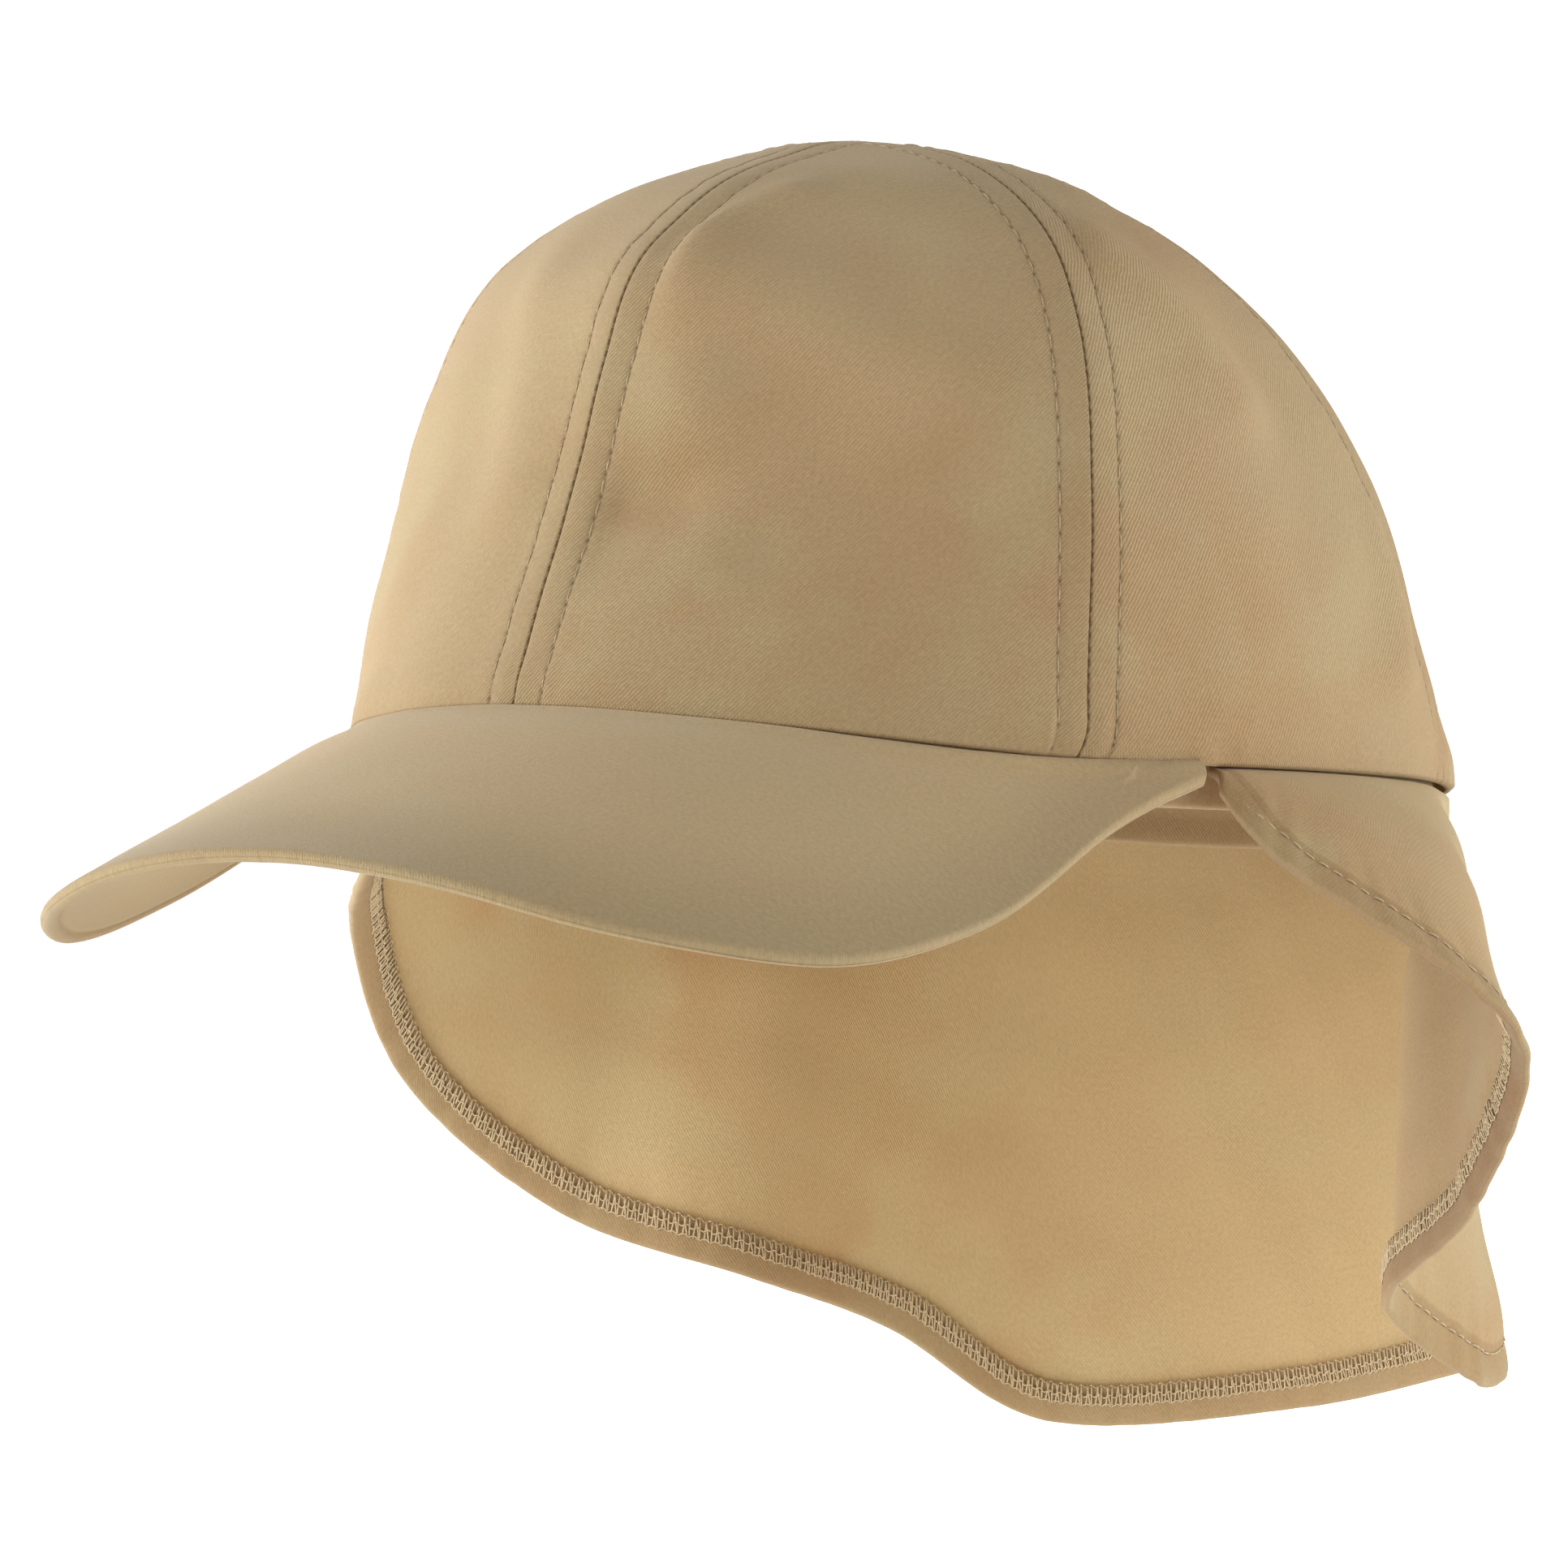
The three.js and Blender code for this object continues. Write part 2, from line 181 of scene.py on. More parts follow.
def crown_form(angle, climb, plain_round=False):
    """The crown before it is dented. Each panel lies partly flat between its seams."""
    angle, climb = np.broadcast_arrays(np.asarray(angle, float), np.asarray(climb, float))
    turned = turned_from_front(angle)
    read = {key: read_table(column, climb) for key, column in crown_sections.items()}
    at_rim = np.array([0.0, side_seam_angle, rear_seam_angle, 180.0])
    side_seam = side_seam_angle + read["side_turn"]
    rear_seam = rear_seam_angle + read["rear_turn"]
    turned_back = np.stack([0 * climb, side_seam, rear_seam, 0 * climb + 180], -1)
    panel = np.clip(np.searchsorted(at_rim, np.abs(turned), side="right") - 1, 0, 2)
    share = (np.abs(turned) - at_rim[panel]) / (at_rim[panel + 1] - at_rim[panel])
    start = np.take_along_axis(turned_back, panel[..., None], -1)[..., 0]
    end = np.take_along_axis(turned_back, panel[..., None] + 1, -1)[..., 0]

    def on_round(seam):
        t = np.radians(seam)
        x = rim_half_width * read["side"] * np.sin(t)
        middle, reach = (read["back"] - read["front"]) / 2, (read["back"] + read["front"]) / 2
        return np.stack([x, rim_half_length * (middle - reach * np.cos(t))], -1)

    plan = on_round(start + (end - start) * share)
    if not plain_round:
        straight = on_round(start) * (1 - share[..., None]) + on_round(end) * share[..., None]
        plan = plan + (straight - plan) * read["flat"][..., None]
    side = np.where(turned < 0, -1.0, 1.0)
    z = rim_height(angle) * (1 - read["rise"]) + crown_height * read["rise"]
    return np.stack([plan[..., 0] * side, plan[..., 1], z], -1)


def above_rim(climb):
    return crown_height * read_table(crown_sections["rise"], np.asarray(climb, float))


def crown_outward(angle, climb):
    """The way out of the crown. It turns level towards the rim."""
    step = 0.01
    level_below = 3
    low = np.clip(climb - step, 0, 1 - 3 * step)
    along = crown_form(angle + 1, climb, True) - crown_form(angle - 1, climb, True)
    rising = crown_form(angle, low + 2 * step, True) - crown_form(angle, low, True)
    outward = unit(np.cross(along, rising))
    outward[..., 2] *= np.minimum(above_rim(climb) / level_below, 1)
    return unit(outward)


def lengths_along(line):
    return np.concatenate([[0], np.cumsum(np.linalg.norm(np.diff(line, axis=0), axis=1))])


# Length from the rim against the climb, measured up the crown at the side
measured_at = 60
climb_steps = np.linspace(0, 1, 1201)
seam_lengths = lengths_along(crown_form(measured_at, climb_steps))


def climb_along(length):
    return np.interp(length, seam_lengths, climb_steps)


def soft_waves(points, length, seed, count=6):
    """Smooth uneven swells between about -1 and 1 over places in space."""
    draw = np.random.default_rng(seed)
    total = np.zeros(points.shape[:-1])
    for _ in range(count):
        way = draw.normal(size=3)
        way *= 2 * np.pi / (np.linalg.norm(way) * length * draw.uniform(0.7, 1.5))
        total += np.sin(points @ way + draw.uniform(0, 2 * np.pi))
    return total / math.sqrt(count)


def bell(distance, width):
    """1 at no distance, falling away smoothly on both sides."""
    return np.exp(-((distance / width) ** 2))


def ease(low, high, value):
    """Rises smoothly from 0 to 1 between two values."""
    t = np.clip((value - low) / (high - low), 0, 1)
    return t * t * (3 - 2 * t)


def round_off(distance, radius):
    """How full a rounded edge is: 0 at the edge itself and 1 from its radius inwards."""
    return np.sqrt(1 - np.clip(1 - distance / radius, 0, 1) ** 2)


def fold_height(points, start, end, width, rise):
    """A soft ridge along the line from one place on the crown to another."""
    first, last = (crown_form(np.float64(angle), np.float64(climb)) for angle, climb in (start, end))
    way = last - first
    share = np.clip(((points - first) @ way) / (way @ way), 0, 1)
    return rise * bell(np.linalg.norm(points - first - share[..., None] * way, axis=-1), width)


def seam_relief(from_seam, length, seed):
    """Height of the cloth beside a crown seam: its crease, the pressed allowance and the stitched row."""
    joint = -joint_depth * bell(from_seam, 0.18) - joint_hollow * bell(from_seam, 0.9)
    still_double = 1 - ease(allowance_end, allowance_fade, from_seam)
    allowance = allowance_rise * ease(0.15, 1.0, from_seam) * still_double
    hole = (0.5 + 0.5 * np.cos(2 * np.pi * length / stitch_pitch)) ** 3
    from_row = from_seam - seam_row
    row = -(row_depth + hole_depth * hole) * bell(from_row, 0.3) - row_depth * bell(from_row, 1.1)
    ripple = 0.05 * np.sin(2 * np.pi * length / 6.7 + 1.3 * np.sin(length / 9 + seed) + seed)
    ripple = ripple + 0.035 * np.sin(2 * np.pi * length / 11.3 + 2.1 * seed)
    return joint + allowance + row + ripple * bell(from_row, 3.4) * ease(0.3, 2, from_seam)


def nearest_seam(form, angle, climb):
    """Distance from the nearest crown seam, that seam's number, and the side of it."""
    from_seam = np.full(angle.shape, 1e3)
    number = np.zeros(angle.shape)
    side = np.zeros(angle.shape)
    for k, seam in enumerate(seam_angles):
        gap = np.linalg.norm(form - crown_form(np.full(angle.shape, seam), climb), axis=-1)
        nearer = gap < from_seam
        number = np.where(nearer, k, number)
        side = np.where(nearer, np.sign((angle - seam + 180) % 360 - 180), side)
        from_seam = np.minimum(gap, from_seam)
    return from_seam, number, side


def crown_surface(angle, climb, lift=0.0, inner=False):
    """A place on the sewn crown, lifted off the cloth. The inner face shows less of the relief."""
    angle, climb = np.broadcast_arrays(np.asarray(angle, float), np.asarray(climb, float))
    form = crown_form(angle, climb)
    above = above_rim(climb)
    length = np.interp(climb, climb_steps, seam_lengths)
    from_seam, number, side = nearest_seam(form, angle, climb)
    near_top = ease(0.9, 0.985, climb)
    seed = 1.7 * number + 0.6 * side
    relief = seam_relief(from_seam, length + stitch_stagger * side, seed) * (1 - 0.8 * near_top)
    turned = turned_from_front(angle)
    for at, height, depth, spread, reach in crown_dents:
        relief = relief - depth * bell(turned - at, spread) * bell(climb - height, reach)
    # The sewn allowance is stiffer than the cloth, so the folds start beyond it
    loose = ease(3.0, 8.5, from_seam)
    for start, end, width, rise in crown_folds:
        relief = relief + fold_strength * loose * fold_height(form, start, end, width, rise)
    # From the ears back the cloth is fuller a little above the rim
    full_here = bell(above - fullness_height, fullness_height) * ease(85, 110, np.abs(turned))
    relief = relief + back_fullness * full_here
    relief = relief + 0.3 * soft_waves(form, 34, 5) + 0.08 * soft_waves(form, 15, 6) * (1 - near_top)
    # The rim: the cloth puffs out and then curls in, with small gathers over the seam
    curl = rim_roll * (1 - round_off(above, rim_roll))
    gathers = 0.14 * np.sin(turned * 1.9 + 2 * np.sin(turned / 9)) + 0.1 * np.sin(turned * 3.3 + 1)
    fine_gathers = 0.07 * np.sin(turned * 4.1 + 3 * np.sin(turned / 7)) * bell(above - 1.2, 1.8)
    relief = relief + (rim_puff + gathers * 0.7) * bell(above - puff_height, 3.2) + fine_gathers - curl
    # A pinched crease runs up from each corner of the peak
    for sign in (-1, 1):
        aside = (sign * turned - pinch_angle) * rim_half_length * math.radians(1) - pinch_lean * above
        ridge = pinch_rise * bell(aside, 1.0) * bell(above, 9)
        hollow = pinch_hollow * bell(aside - 2.2, 1.2) * bell(above, 8)
        relief = relief + ridge - hollow + 0.35 * bell(aside - 5, 2.2) * bell(above - 3, 6)
    if inner:
        relief = relief * inside_relief
    # Near the rim the side seams lean forward
    low_down = np.clip(1 - above / lean_height, 0, 1) ** 2
    lean = seam_lean * low_down * bell(np.abs(turned) - side_seam_angle, 9) * np.sign(turned)
    shifted = crown_form(angle - np.degrees(lean / rim_half_length), climb)
    return shifted + crown_outward(angle, climb) * (relief + lift)[..., None]


def placed(name, mesh):
    mesh.polygons.foreach_set("use_smooth", np.ones(len(mesh.polygons), bool))
    piece = bpy.data.objects.new(name, mesh)
    bpy.context.scene.collection.objects.link(piece)
    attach(piece, "root")
    return piece


def closed_cloth(name, skin, laid, beside, ring=False):
    """A closed piece of cloth. skin is columns x section x 3, and each section goes down one face and back
    up the other. laid is the same places laid flat. beside is how far each is from an edge and along it."""
    columns, section = skin.shape[:2]
    at = np.arange(columns * section).reshape(columns, section)
    after = np.roll(at, -1, axis=0) if ring else at[1:]
    before = at if ring else at[:-1]
    walls = np.stack([before, after, np.roll(after, -1, axis=1), np.roll(before, -1, axis=1)], -1)
    faces = [walls.reshape(-1, 4)]
    if not ring:
        k = np.arange(section // 2 - 1)
        for line, flip in ((at[0], False), (at[-1], True)):
            end_faces = np.stack([line[k], line[k + 1], line[section - 2 - k], line[section - 1 - k]], -1)
            faces.append(end_faces[:, ::-1] if flip else end_faces)
    faces = np.concatenate(faces)
    corners = skin.reshape(-1, 3) * MM
    a, b, c = corners[faces[:, 0]], corners[faces[:, 1]], corners[faces[:, 2]]
    if (a * np.cross(b, c)).sum() + (a * np.cross(c, corners[faces[:, 3]])).sum() < 0:
        faces = faces[:, ::-1]
    mesh = bpy.data.meshes.new(name)
    mesh.from_pydata(corners.tolist(), [], faces.tolist())
    for label, places in (("cloth_mm", laid), ("edge_mm", beside)):
        layer = mesh.uv_layers.new(name=label)
        layer.uv.foreach_set("vector", places.reshape(-1, 2)[faces.ravel()].astype(np.float32).ravel())
    return placed(name, mesh)


def both_faces(grid):
    return np.concatenate([grid, grid[:, ::-1]], axis=1)


def threads(name, runs, radius, sides=6):
    """Short lengths of thread as one mesh. runs is count x points x 3, and each is a tube with thin ends."""
    runs = np.asarray(runs, float)
    count, points = runs.shape[:2]
    heading = unit(np.gradient(runs, axis=1))
    helper = np.where(np.abs(heading[..., 2:]) > 0.9, [1.0, 0, 0], [0, 0, 1.0])
    aside = unit(np.cross(heading, helper))
    over = np.cross(heading, aside)
    around = 2 * np.pi * np.arange(sides) / sides
    thin = np.ones(points)
    thin[[0, -1]] = 0.45
    ring = np.cos(around)[:, None] * aside[:, :, None] + np.sin(around)[:, None] * over[:, :, None]
    corners = runs[:, :, None] + ring * (radius * thin)[None, :, None, None]
    at = np.arange(count * points * sides).reshape(count, points, sides)
    low, high = at[:, :-1], at[:, 1:]
    walls = np.stack([high, np.roll(high, -1, 2), np.roll(low, -1, 2), low], -1).reshape(-1, 4)
    ends = np.concatenate([at[:, 0], at[:, -1, ::-1]])
    mesh = bpy.data.meshes.new(name)
    mesh.from_pydata((corners.reshape(-1, 3) * MM).tolist(), [], walls.tolist() + ends.tolist())
    return placed(name, mesh)


def crown_panel(name, node, start, end):
    even_rows = np.arange(first_even_row, seam_lengths[-1] - 0.5, row_step)
    lengths = np.concatenate([rim_rows, even_rows, [seam_lengths[-1]]])
    climbs = np.minimum(climb_along(lengths), top_climb)
    width = np.linalg.norm(crown_form(start, climbs) - crown_form(end, climbs), axis=-1)
    half = width / 2
    # Towards the top the panel narrows, and the columns move closer together
    squeeze = np.minimum(1, half * 0.8 / seam_columns[-1])
    by_seam = np.array(seam_columns)[:, None] * squeeze
    rest = by_seam[-1] + np.linspace(0, 1, panel_columns)[1:, None] * (half - by_seam[-1])
    first_half = np.concatenate([by_seam, rest])
    across = np.concatenate([first_half, (width - first_half)[::-1][1:]]) / width
    angle = start + (end - start) * across
    climb = np.broadcast_to(climbs, angle.shape)
    outer = crown_surface(angle, climb)
    inner = crown_surface(angle, climb, -crown_cloth, inner=True)
    skin = np.concatenate([outer, inner[:, ::-1]], axis=1)
    length = np.broadcast_to(lengths, angle.shape)
    laid = np.stack([(across - 0.5) * width, length], -1)
    from_seam, _, side = nearest_seam(crown_form(angle, climb), angle, climb)
    beside = np.stack([from_seam, length + stitch_stagger * side], -1)
    piece = closed_cloth(name, skin, both_faces(laid), both_faces(beside))
    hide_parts(node)
    return piece


crown_pieces = []
for kind, start, end in (
    ("front", 0, side_seam_angle),
    ("side", side_seam_angle, rear_seam_angle),
    ("back", rear_seam_angle, 180),
):
    crown_pieces.append(crown_panel(f"{kind}_cloth_left", f"{kind}_panel_left", start, end))
    crown_pieces.append(crown_panel(f"{kind}_cloth_right", f"{kind}_panel_right", -end, -start))

# The topstitching: a row on each side of a seam. Every stitch dives into the needle holes at its ends.
dive = np.array([-0.3, 0.0, 0.06, 0.08, 0.06, 0.0, -0.3])
between_holes = np.linspace(0.08, 0.92, len(dive))
holes = np.arange(stitch_pitch, seam_lengths[-1] - row_stops_short, stitch_pitch)
crown_runs = []
for seam in seam_angles:
    for side in (-1, 1):
        climb = climb_along(holes[:, None] + stitch_pitch * between_holes - stitch_stagger * side)
        spot = crown_form(np.full(climb.shape, seam), climb)
        beside = crown_form(np.full(climb.shape, seam + side), climb)
        turn_by = seam_row / np.linalg.norm(beside - spot, axis=-1)
        crown_runs.append(crown_surface(seam + side * turn_by, climb, dive))
crown_stitching = threads("crown_topstitching", np.concatenate(crown_runs), 0.13)


number = "NodeSocketFloat"
paint = "NodeSocketColor"


def new_group(name, inputs, outputs):
    group = bpy.data.node_groups.new(name, "ShaderNodeTree")
    for label, kind, value in inputs:
        socket = group.interface.new_socket(name=label, in_out="INPUT", socket_type=kind)
        if value is not None:
            socket.default_value = value
    for label, kind in outputs:
        group.interface.new_socket(name=label, in_out="OUTPUT", socket_type=kind)
    return group, group.nodes.new("NodeGroupInput").outputs, group.nodes.new("NodeGroupOutput").inputs


def add_node(tree, kind, settings=None, **values):
    node = tree.nodes.new(kind)
    for key, value in (settings or {}).items():
        setattr(node, key, value)
    for key, value in values.items():
        socket = node.inputs[int(key[1:])] if key[0] == "i" and key[1:].isdigit() else node.inputs[key]
        if isinstance(value, bpy.types.NodeSocket):
            tree.links.new(value, socket)
        else:
            socket.default_value = value
    return node


def set_values(node, values):
    for label, value in values.items():
        node.inputs[label].default_value = value


def noise(tree, place, scale, detail, roughness=0.5):
    values = {"Vector": place, "Scale": scale, "Detail": detail, "Roughness": roughness}
    return add_node(tree, "ShaderNodeTexNoise", **values).outputs[0]


def calc(tree, operation, *values):
    keyed = {f"i{k}": value for k, value in enumerate(values)}
    return add_node(tree, "ShaderNodeMath", {"operation": operation}, **keyed).outputs[0]


def times(tree, first, second):
    return calc(tree, "MULTIPLY", first, second)


def ramp(tree, value, low, high, at_low, at_high):
    """Goes smoothly from one value to another while its input goes from low to high."""
    kind = {"interpolation_type": "SMOOTHSTEP"}
    node = add_node(tree, "ShaderNodeMapRange", kind, Value=value, i1=low, i2=high, i3=at_low, i4=at_high)
    return node.outputs[0]


def mix_colours(tree, factor, first, second, blend="MIX"):
    kind = {"data_type": "RGBA", "blend_type": blend}
    return add_node(tree, "ShaderNodeMix", kind, i0=factor, i6=first, i7=second).outputs[2]


def tinted(tree, colour, tint):
    return mix_colours(tree, 1.0, colour, tint, "MULTIPLY")


def shaded(tree, colour, shade):
    grey = add_node(tree, "ShaderNodeCombineColor", i0=shade, i1=shade, i2=shade).outputs[0]
    return tinted(tree, colour, grey)


def wave(tree, kind, along, pitch):
    return calc(tree, kind, calc(tree, "DIVIDE", times(tree, along, 2 * math.pi), pitch))


def soft_line(tree, distance, half_width):
    """1 along a line, fading smoothly to nought on both sides."""
    share = calc(tree, "DIVIDE", distance, half_width)
    return calc(tree, "EXPONENT", times(tree, times(tree, share, share), -1.0))


def dimmed(tree, mask, shade):
    """1 where there is no mask, and the shade where there is."""
    dark = times(tree, mask, calc(tree, "SUBTRACT", 1.0, shade))
    return calc(tree, "SUBTRACT", 1.0, dark)


# Brushed twill: fine slanting ribs under a short fuzz, and slow changes between warmer and cooler beige
twill_group, given, made = new_group(
    "brushed_twill",
    [
        ("Flat Place", "NodeSocketVector", None),
        ("Body Place", "NodeSocketVector", None),
        ("Base", paint, (0.5, 0.4, 0.25, 1)),
        ("Warm", paint, (0.5, 0.36, 0.2, 1)),
        ("Cool", paint, (0.48, 0.42, 0.27, 1)),
        ("Mottle", number, 0.6),
        ("Rib Pitch", number, 0.46),
        ("Rib Strength", number, 0.5),
    ],
    [("Color", paint), ("Height", number), ("Roughness", number)],
)
tree = twill_group
flat_place, body_place = given["Flat Place"], given["Body Place"]
place = add_node(tree, "ShaderNodeSeparateXYZ", i0=flat_place)
rib_slant = (0.78, -0.62)
slanted = [times(tree, place.outputs[k], rib_slant[k]) for k in (0, 1)]
waver = noise(tree, flat_place, 0.6, 2.0)
across_ribs = calc(tree, "ADD", calc(tree, "ADD", *slanted), times(tree, waver, 0.35))
ribs = wave(tree, "SINE", across_ribs, given["Rib Pitch"])
grain = noise(tree, flat_place, 3.2, 3.0, 0.65)
fuzz = noise(tree, flat_place, 1.5, 4.0, 0.7)
wide_patches = noise(tree, body_place, 16.0, 2.0)
small_patches = noise(tree, body_place, 30.0, 3.0, 0.55)
warmth = times(tree, ramp(tree, wide_patches, 0.40, 0.66, 0.0, 1.0), given["Mottle"])
coolness = times(tree, ramp(tree, small_patches, 0.44, 0.70, 0.0, 1.0), given["Mottle"])
colour = mix_colours(tree, warmth, given["Base"], given["Warm"])
colour = mix_colours(tree, coolness, colour, given["Cool"])
speck = ramp(tree, fuzz, 0.25, 0.75, 0.90, 1.10)
ribbed = calc(tree, "MULTIPLY_ADD", ribs, times(tree, given["Rib Strength"], 0.05), 1.0)
colour = shaded(tree, colour, times(tree, speck, ribbed))
grain_height = times(tree, grain, 1.6)
rib_height = calc(tree, "MULTIPLY_ADD", ribs, given["Rib Strength"], grain_height)
height = calc(tree, "MULTIPLY_ADD", fuzz, 1.2, rib_height)
tree.links.new(colour, made["Color"])
tree.links.new(height, made["Height"])
tree.links.new(ramp(tree, fuzz, 0.3, 0.7, 0.84, 0.97), made["Roughness"])

# The shade of a sewn row: the thin dark line of a joint, and a row of needle holes beside it
row_group, given, made = new_group(
    "sewn_row",
    [
        ("From Edge", number, 10.0),
        ("Along", number, 0.0),
        ("Joint Width", number, 0.2),
        ("Joint Shade", number, 0.5),
        ("Row", number, 4.6),
        ("Pitch", number, 2.9),
        ("Hole Shade", number, 0.6),
    ],
    [("Shade", number)],
)
tree = row_group
zigzag = ramp(tree, calc(tree, "SINE", times(tree, given["Along"], 3.4)), -0.25, 0.25, -1.0, 1.0)
jagged = calc(tree, "MULTIPLY_ADD", zigzag, 0.11, given["From Edge"])
joint = soft_line(tree, jagged, given["Joint Width"])
lane = soft_line(tree, calc(tree, "SUBTRACT", given["From Edge"], given["Row"]), 0.26)
beat = wave(tree, "COSINE", given["Along"], given["Pitch"])
hole = times(tree, ramp(tree, beat, 0.8, 0.97, 0.35, 1.0), lane)
joint_shade = dimmed(tree, joint, given["Joint Shade"])
hole_shade = dimmed(tree, hole, given["Hole Shade"])
tree.links.new(times(tree, joint_shade, hole_shade), made["Shade"])

# Cloth bent hard over an edge: its ribs stand out across the fold, and a mask along the fold carries a
# painted highlight
fold_group, given, made = new_group(
    "folded_edge",
    [
        ("From Edge", number, 10.0),
        ("Along", number, 0.0),
        ("Reach", number, 1.2),
        ("Pitch", number, 0.45),
    ],
    [("Fold Highlight", number), ("Height", number)],
)
tree = fold_group
fold = soft_line(tree, given["From Edge"], given["Reach"])
leaning = calc(tree, "MULTIPLY_ADD", given["From Edge"], 0.5, given["Along"])
bars = wave(tree, "SINE", leaning, given["Pitch"])
tree.links.new(fold, made["Fold Highlight"])
tree.links.new(times(tree, times(tree, bars, fold), 0.8), made["Height"])


def shader_tree(name):
    material = bpy.data.materials.new(name)
    material.use_nodes = True
    tree = material.node_tree
    return material, tree, tree.nodes["Principled BSDF"]


def flat_map(tree, label):
    return add_node(tree, "ShaderNodeUVMap", {"uv_map": label}).outputs[0]


def map_places(tree, label):
    places = add_node(tree, "ShaderNodeSeparateXYZ", i0=flat_map(tree, label))
    return places.outputs[0], places.outputs[1]


def place_group(tree, group, values):
    return add_node(tree, "ShaderNodeGroup", {"node_tree": group}, **values).outputs


def place_twill(tree, base, warm, cool, mottle, rib):
    """The brushed twill in a piece's own beige."""
    body = add_node(tree, "ShaderNodeTexCoord").outputs["Object"]
    colours = {"Base": (*base, 1), "Warm": (*warm, 1), "Cool": (*cool, 1)}
    places = {"Flat Place": flat_map(tree, "cloth_mm"), "Body Place": body}
    return place_group(tree, twill_group, {**places, **colours, "Mottle": mottle, "Rib Strength": rib})


def finish_cloth(tree, cloth, colour, height, roughness, bump, sheen):
    tree.links.new(colour, cloth.inputs["Base Color"])
    tree.links.new(roughness, cloth.inputs["Roughness"])
    relief = add_node(tree, "ShaderNodeBump", Strength=bump, Distance=0.00012, Height=height)
    tree.links.new(relief.outputs[0], cloth.inputs["Normal"])
    set_values(cloth, {"Specular IOR Level": 0.2, "Sheen Weight": sheen})
    set_values(cloth, {"Sheen Roughness": 0.45, "Sheen Tint": (1.0, 0.93, 0.82, 1)})


def dress(piece, material):
    piece.data.materials.clear()
    piece.data.materials.append(material)


crown_finish, tree, cloth = shader_tree("crown_twill")
from_seam_at, along_seam = map_places(tree, "edge_mm")
_, above_edge = map_places(tree, "cloth_mm")
twill = place_twill(tree, (0.49, 0.352, 0.186), (0.476, 0.304, 0.147), (0.496, 0.372, 0.196), 0.95, 0.6)
sewn = place_group(tree, row_group, {
    "From Edge": from_seam_at,
    "Along": along_seam,
    "Joint Width": 0.15,
    "Joint Shade": 0.55,
    "Row": seam_row,
    "Pitch": stitch_pitch,
    "Hole Shade": 0.5,
})
# The cloth is darker over the double allowance, and a painted shade darkens it where it curls in at the rim
over_allowance = ramp(tree, from_seam_at, seam_row - 0.1, seam_row + 0.5, 0.95, 1.0)
at_rim = ramp(tree, above_edge, 0.1, 0.7, 0.85, 1.0)
shade = times(tree, times(tree, sewn["Shade"], over_allowance), at_rim)
colour = shaded(tree, twill["Color"], shade)
gathered = place_group(tree, fold_group, {"From Edge": above_edge, "Along": from_seam_at, "Reach": 2.2})
height = calc(tree, "MULTIPLY_ADD", gathered["Height"], 0.8, twill["Height"])
finish_cloth(tree, cloth, colour, height, twill["Roughness"], 0.5, 0.15)
for piece in crown_pieces:
    dress(piece, crown_finish)


def thread_material(name, colour):
    """Polyester thread: a fine twist along it and a slight shine."""
    material, tree, cloth = shader_tree(name)
    twist = noise(tree, add_node(tree, "ShaderNodeTexCoord").outputs["Object"], 2600.0, 2.0)
    twisted = shaded(tree, (*colour, 1), ramp(tree, twist, 0.3, 0.7, 0.86, 1.12))
    tree.links.new(twisted, cloth.inputs["Base Color"])
    relief = add_node(tree, "ShaderNodeBump", Strength=0.4, Distance=0.00005, Height=twist)
    tree.links.new(relief.outputs[0], cloth.inputs["Normal"])
    set_values(cloth, {"Roughness": 0.6, "Sheen Weight": 0.2})
    return material


dress(crown_stitching, thread_material("crown_thread", (0.51, 0.37, 0.20)))


# Peak. A curved board covered in the same twill, above and below, turned at its edge and sewn into the rim.
# The cover's seam is rolled to the underside a little way in from the edge.
peak_reach = 53.0
peak_corner_angle = 74.3
peak_thickness = 2.2
peak_slope = 0.368
peak_arch = 32.2
peak_arch_power = 2.2
peak_lift = 1.2
peak_seat_reach = 14.0
peak_seat_gap = 0.1
root_inset = 2.5
press_height = 0.7
corner_press = 0.9
press_place = 2.4
press_width = 1.6
cover_seam_place = 2.6
cover_seam_depth = 0.4
peak_columns = 161
column_bunching = 0.93
peak_outline = {
    "out": (0.0, 0.328, 0.654, 0.914, 1.007, 0.993, 0.985),
    "ahead": (1.0, 0.986, 0.903, 0.707, 0.466, 0.213, 0.02),
}


def rim_point(angle, inset, drop):
    """A place on the rim seam, moved in and down."""
    t = np.radians(angle)
    inward = unit(np.stack([-np.sin(t) / rim_half_width, np.cos(t) / rim_half_length, 0 * t], -1))
    seam = np.stack([rim_half_width * np.sin(t), -rim_half_length * np.cos(t), rim_height(angle) - drop], -1)
    return seam + inward * np.asarray(inset, float)[..., None]


def peak_field(x, y):
    """Height of the peak's middle layer over a place in plan."""
    past = -y - rim_half_length
    start_height = rim_height(0.0) + peak_lift - peak_thickness / 2
    return start_height - peak_slope * past - peak_arch * (np.abs(x) / rim_half_width) ** peak_arch_power


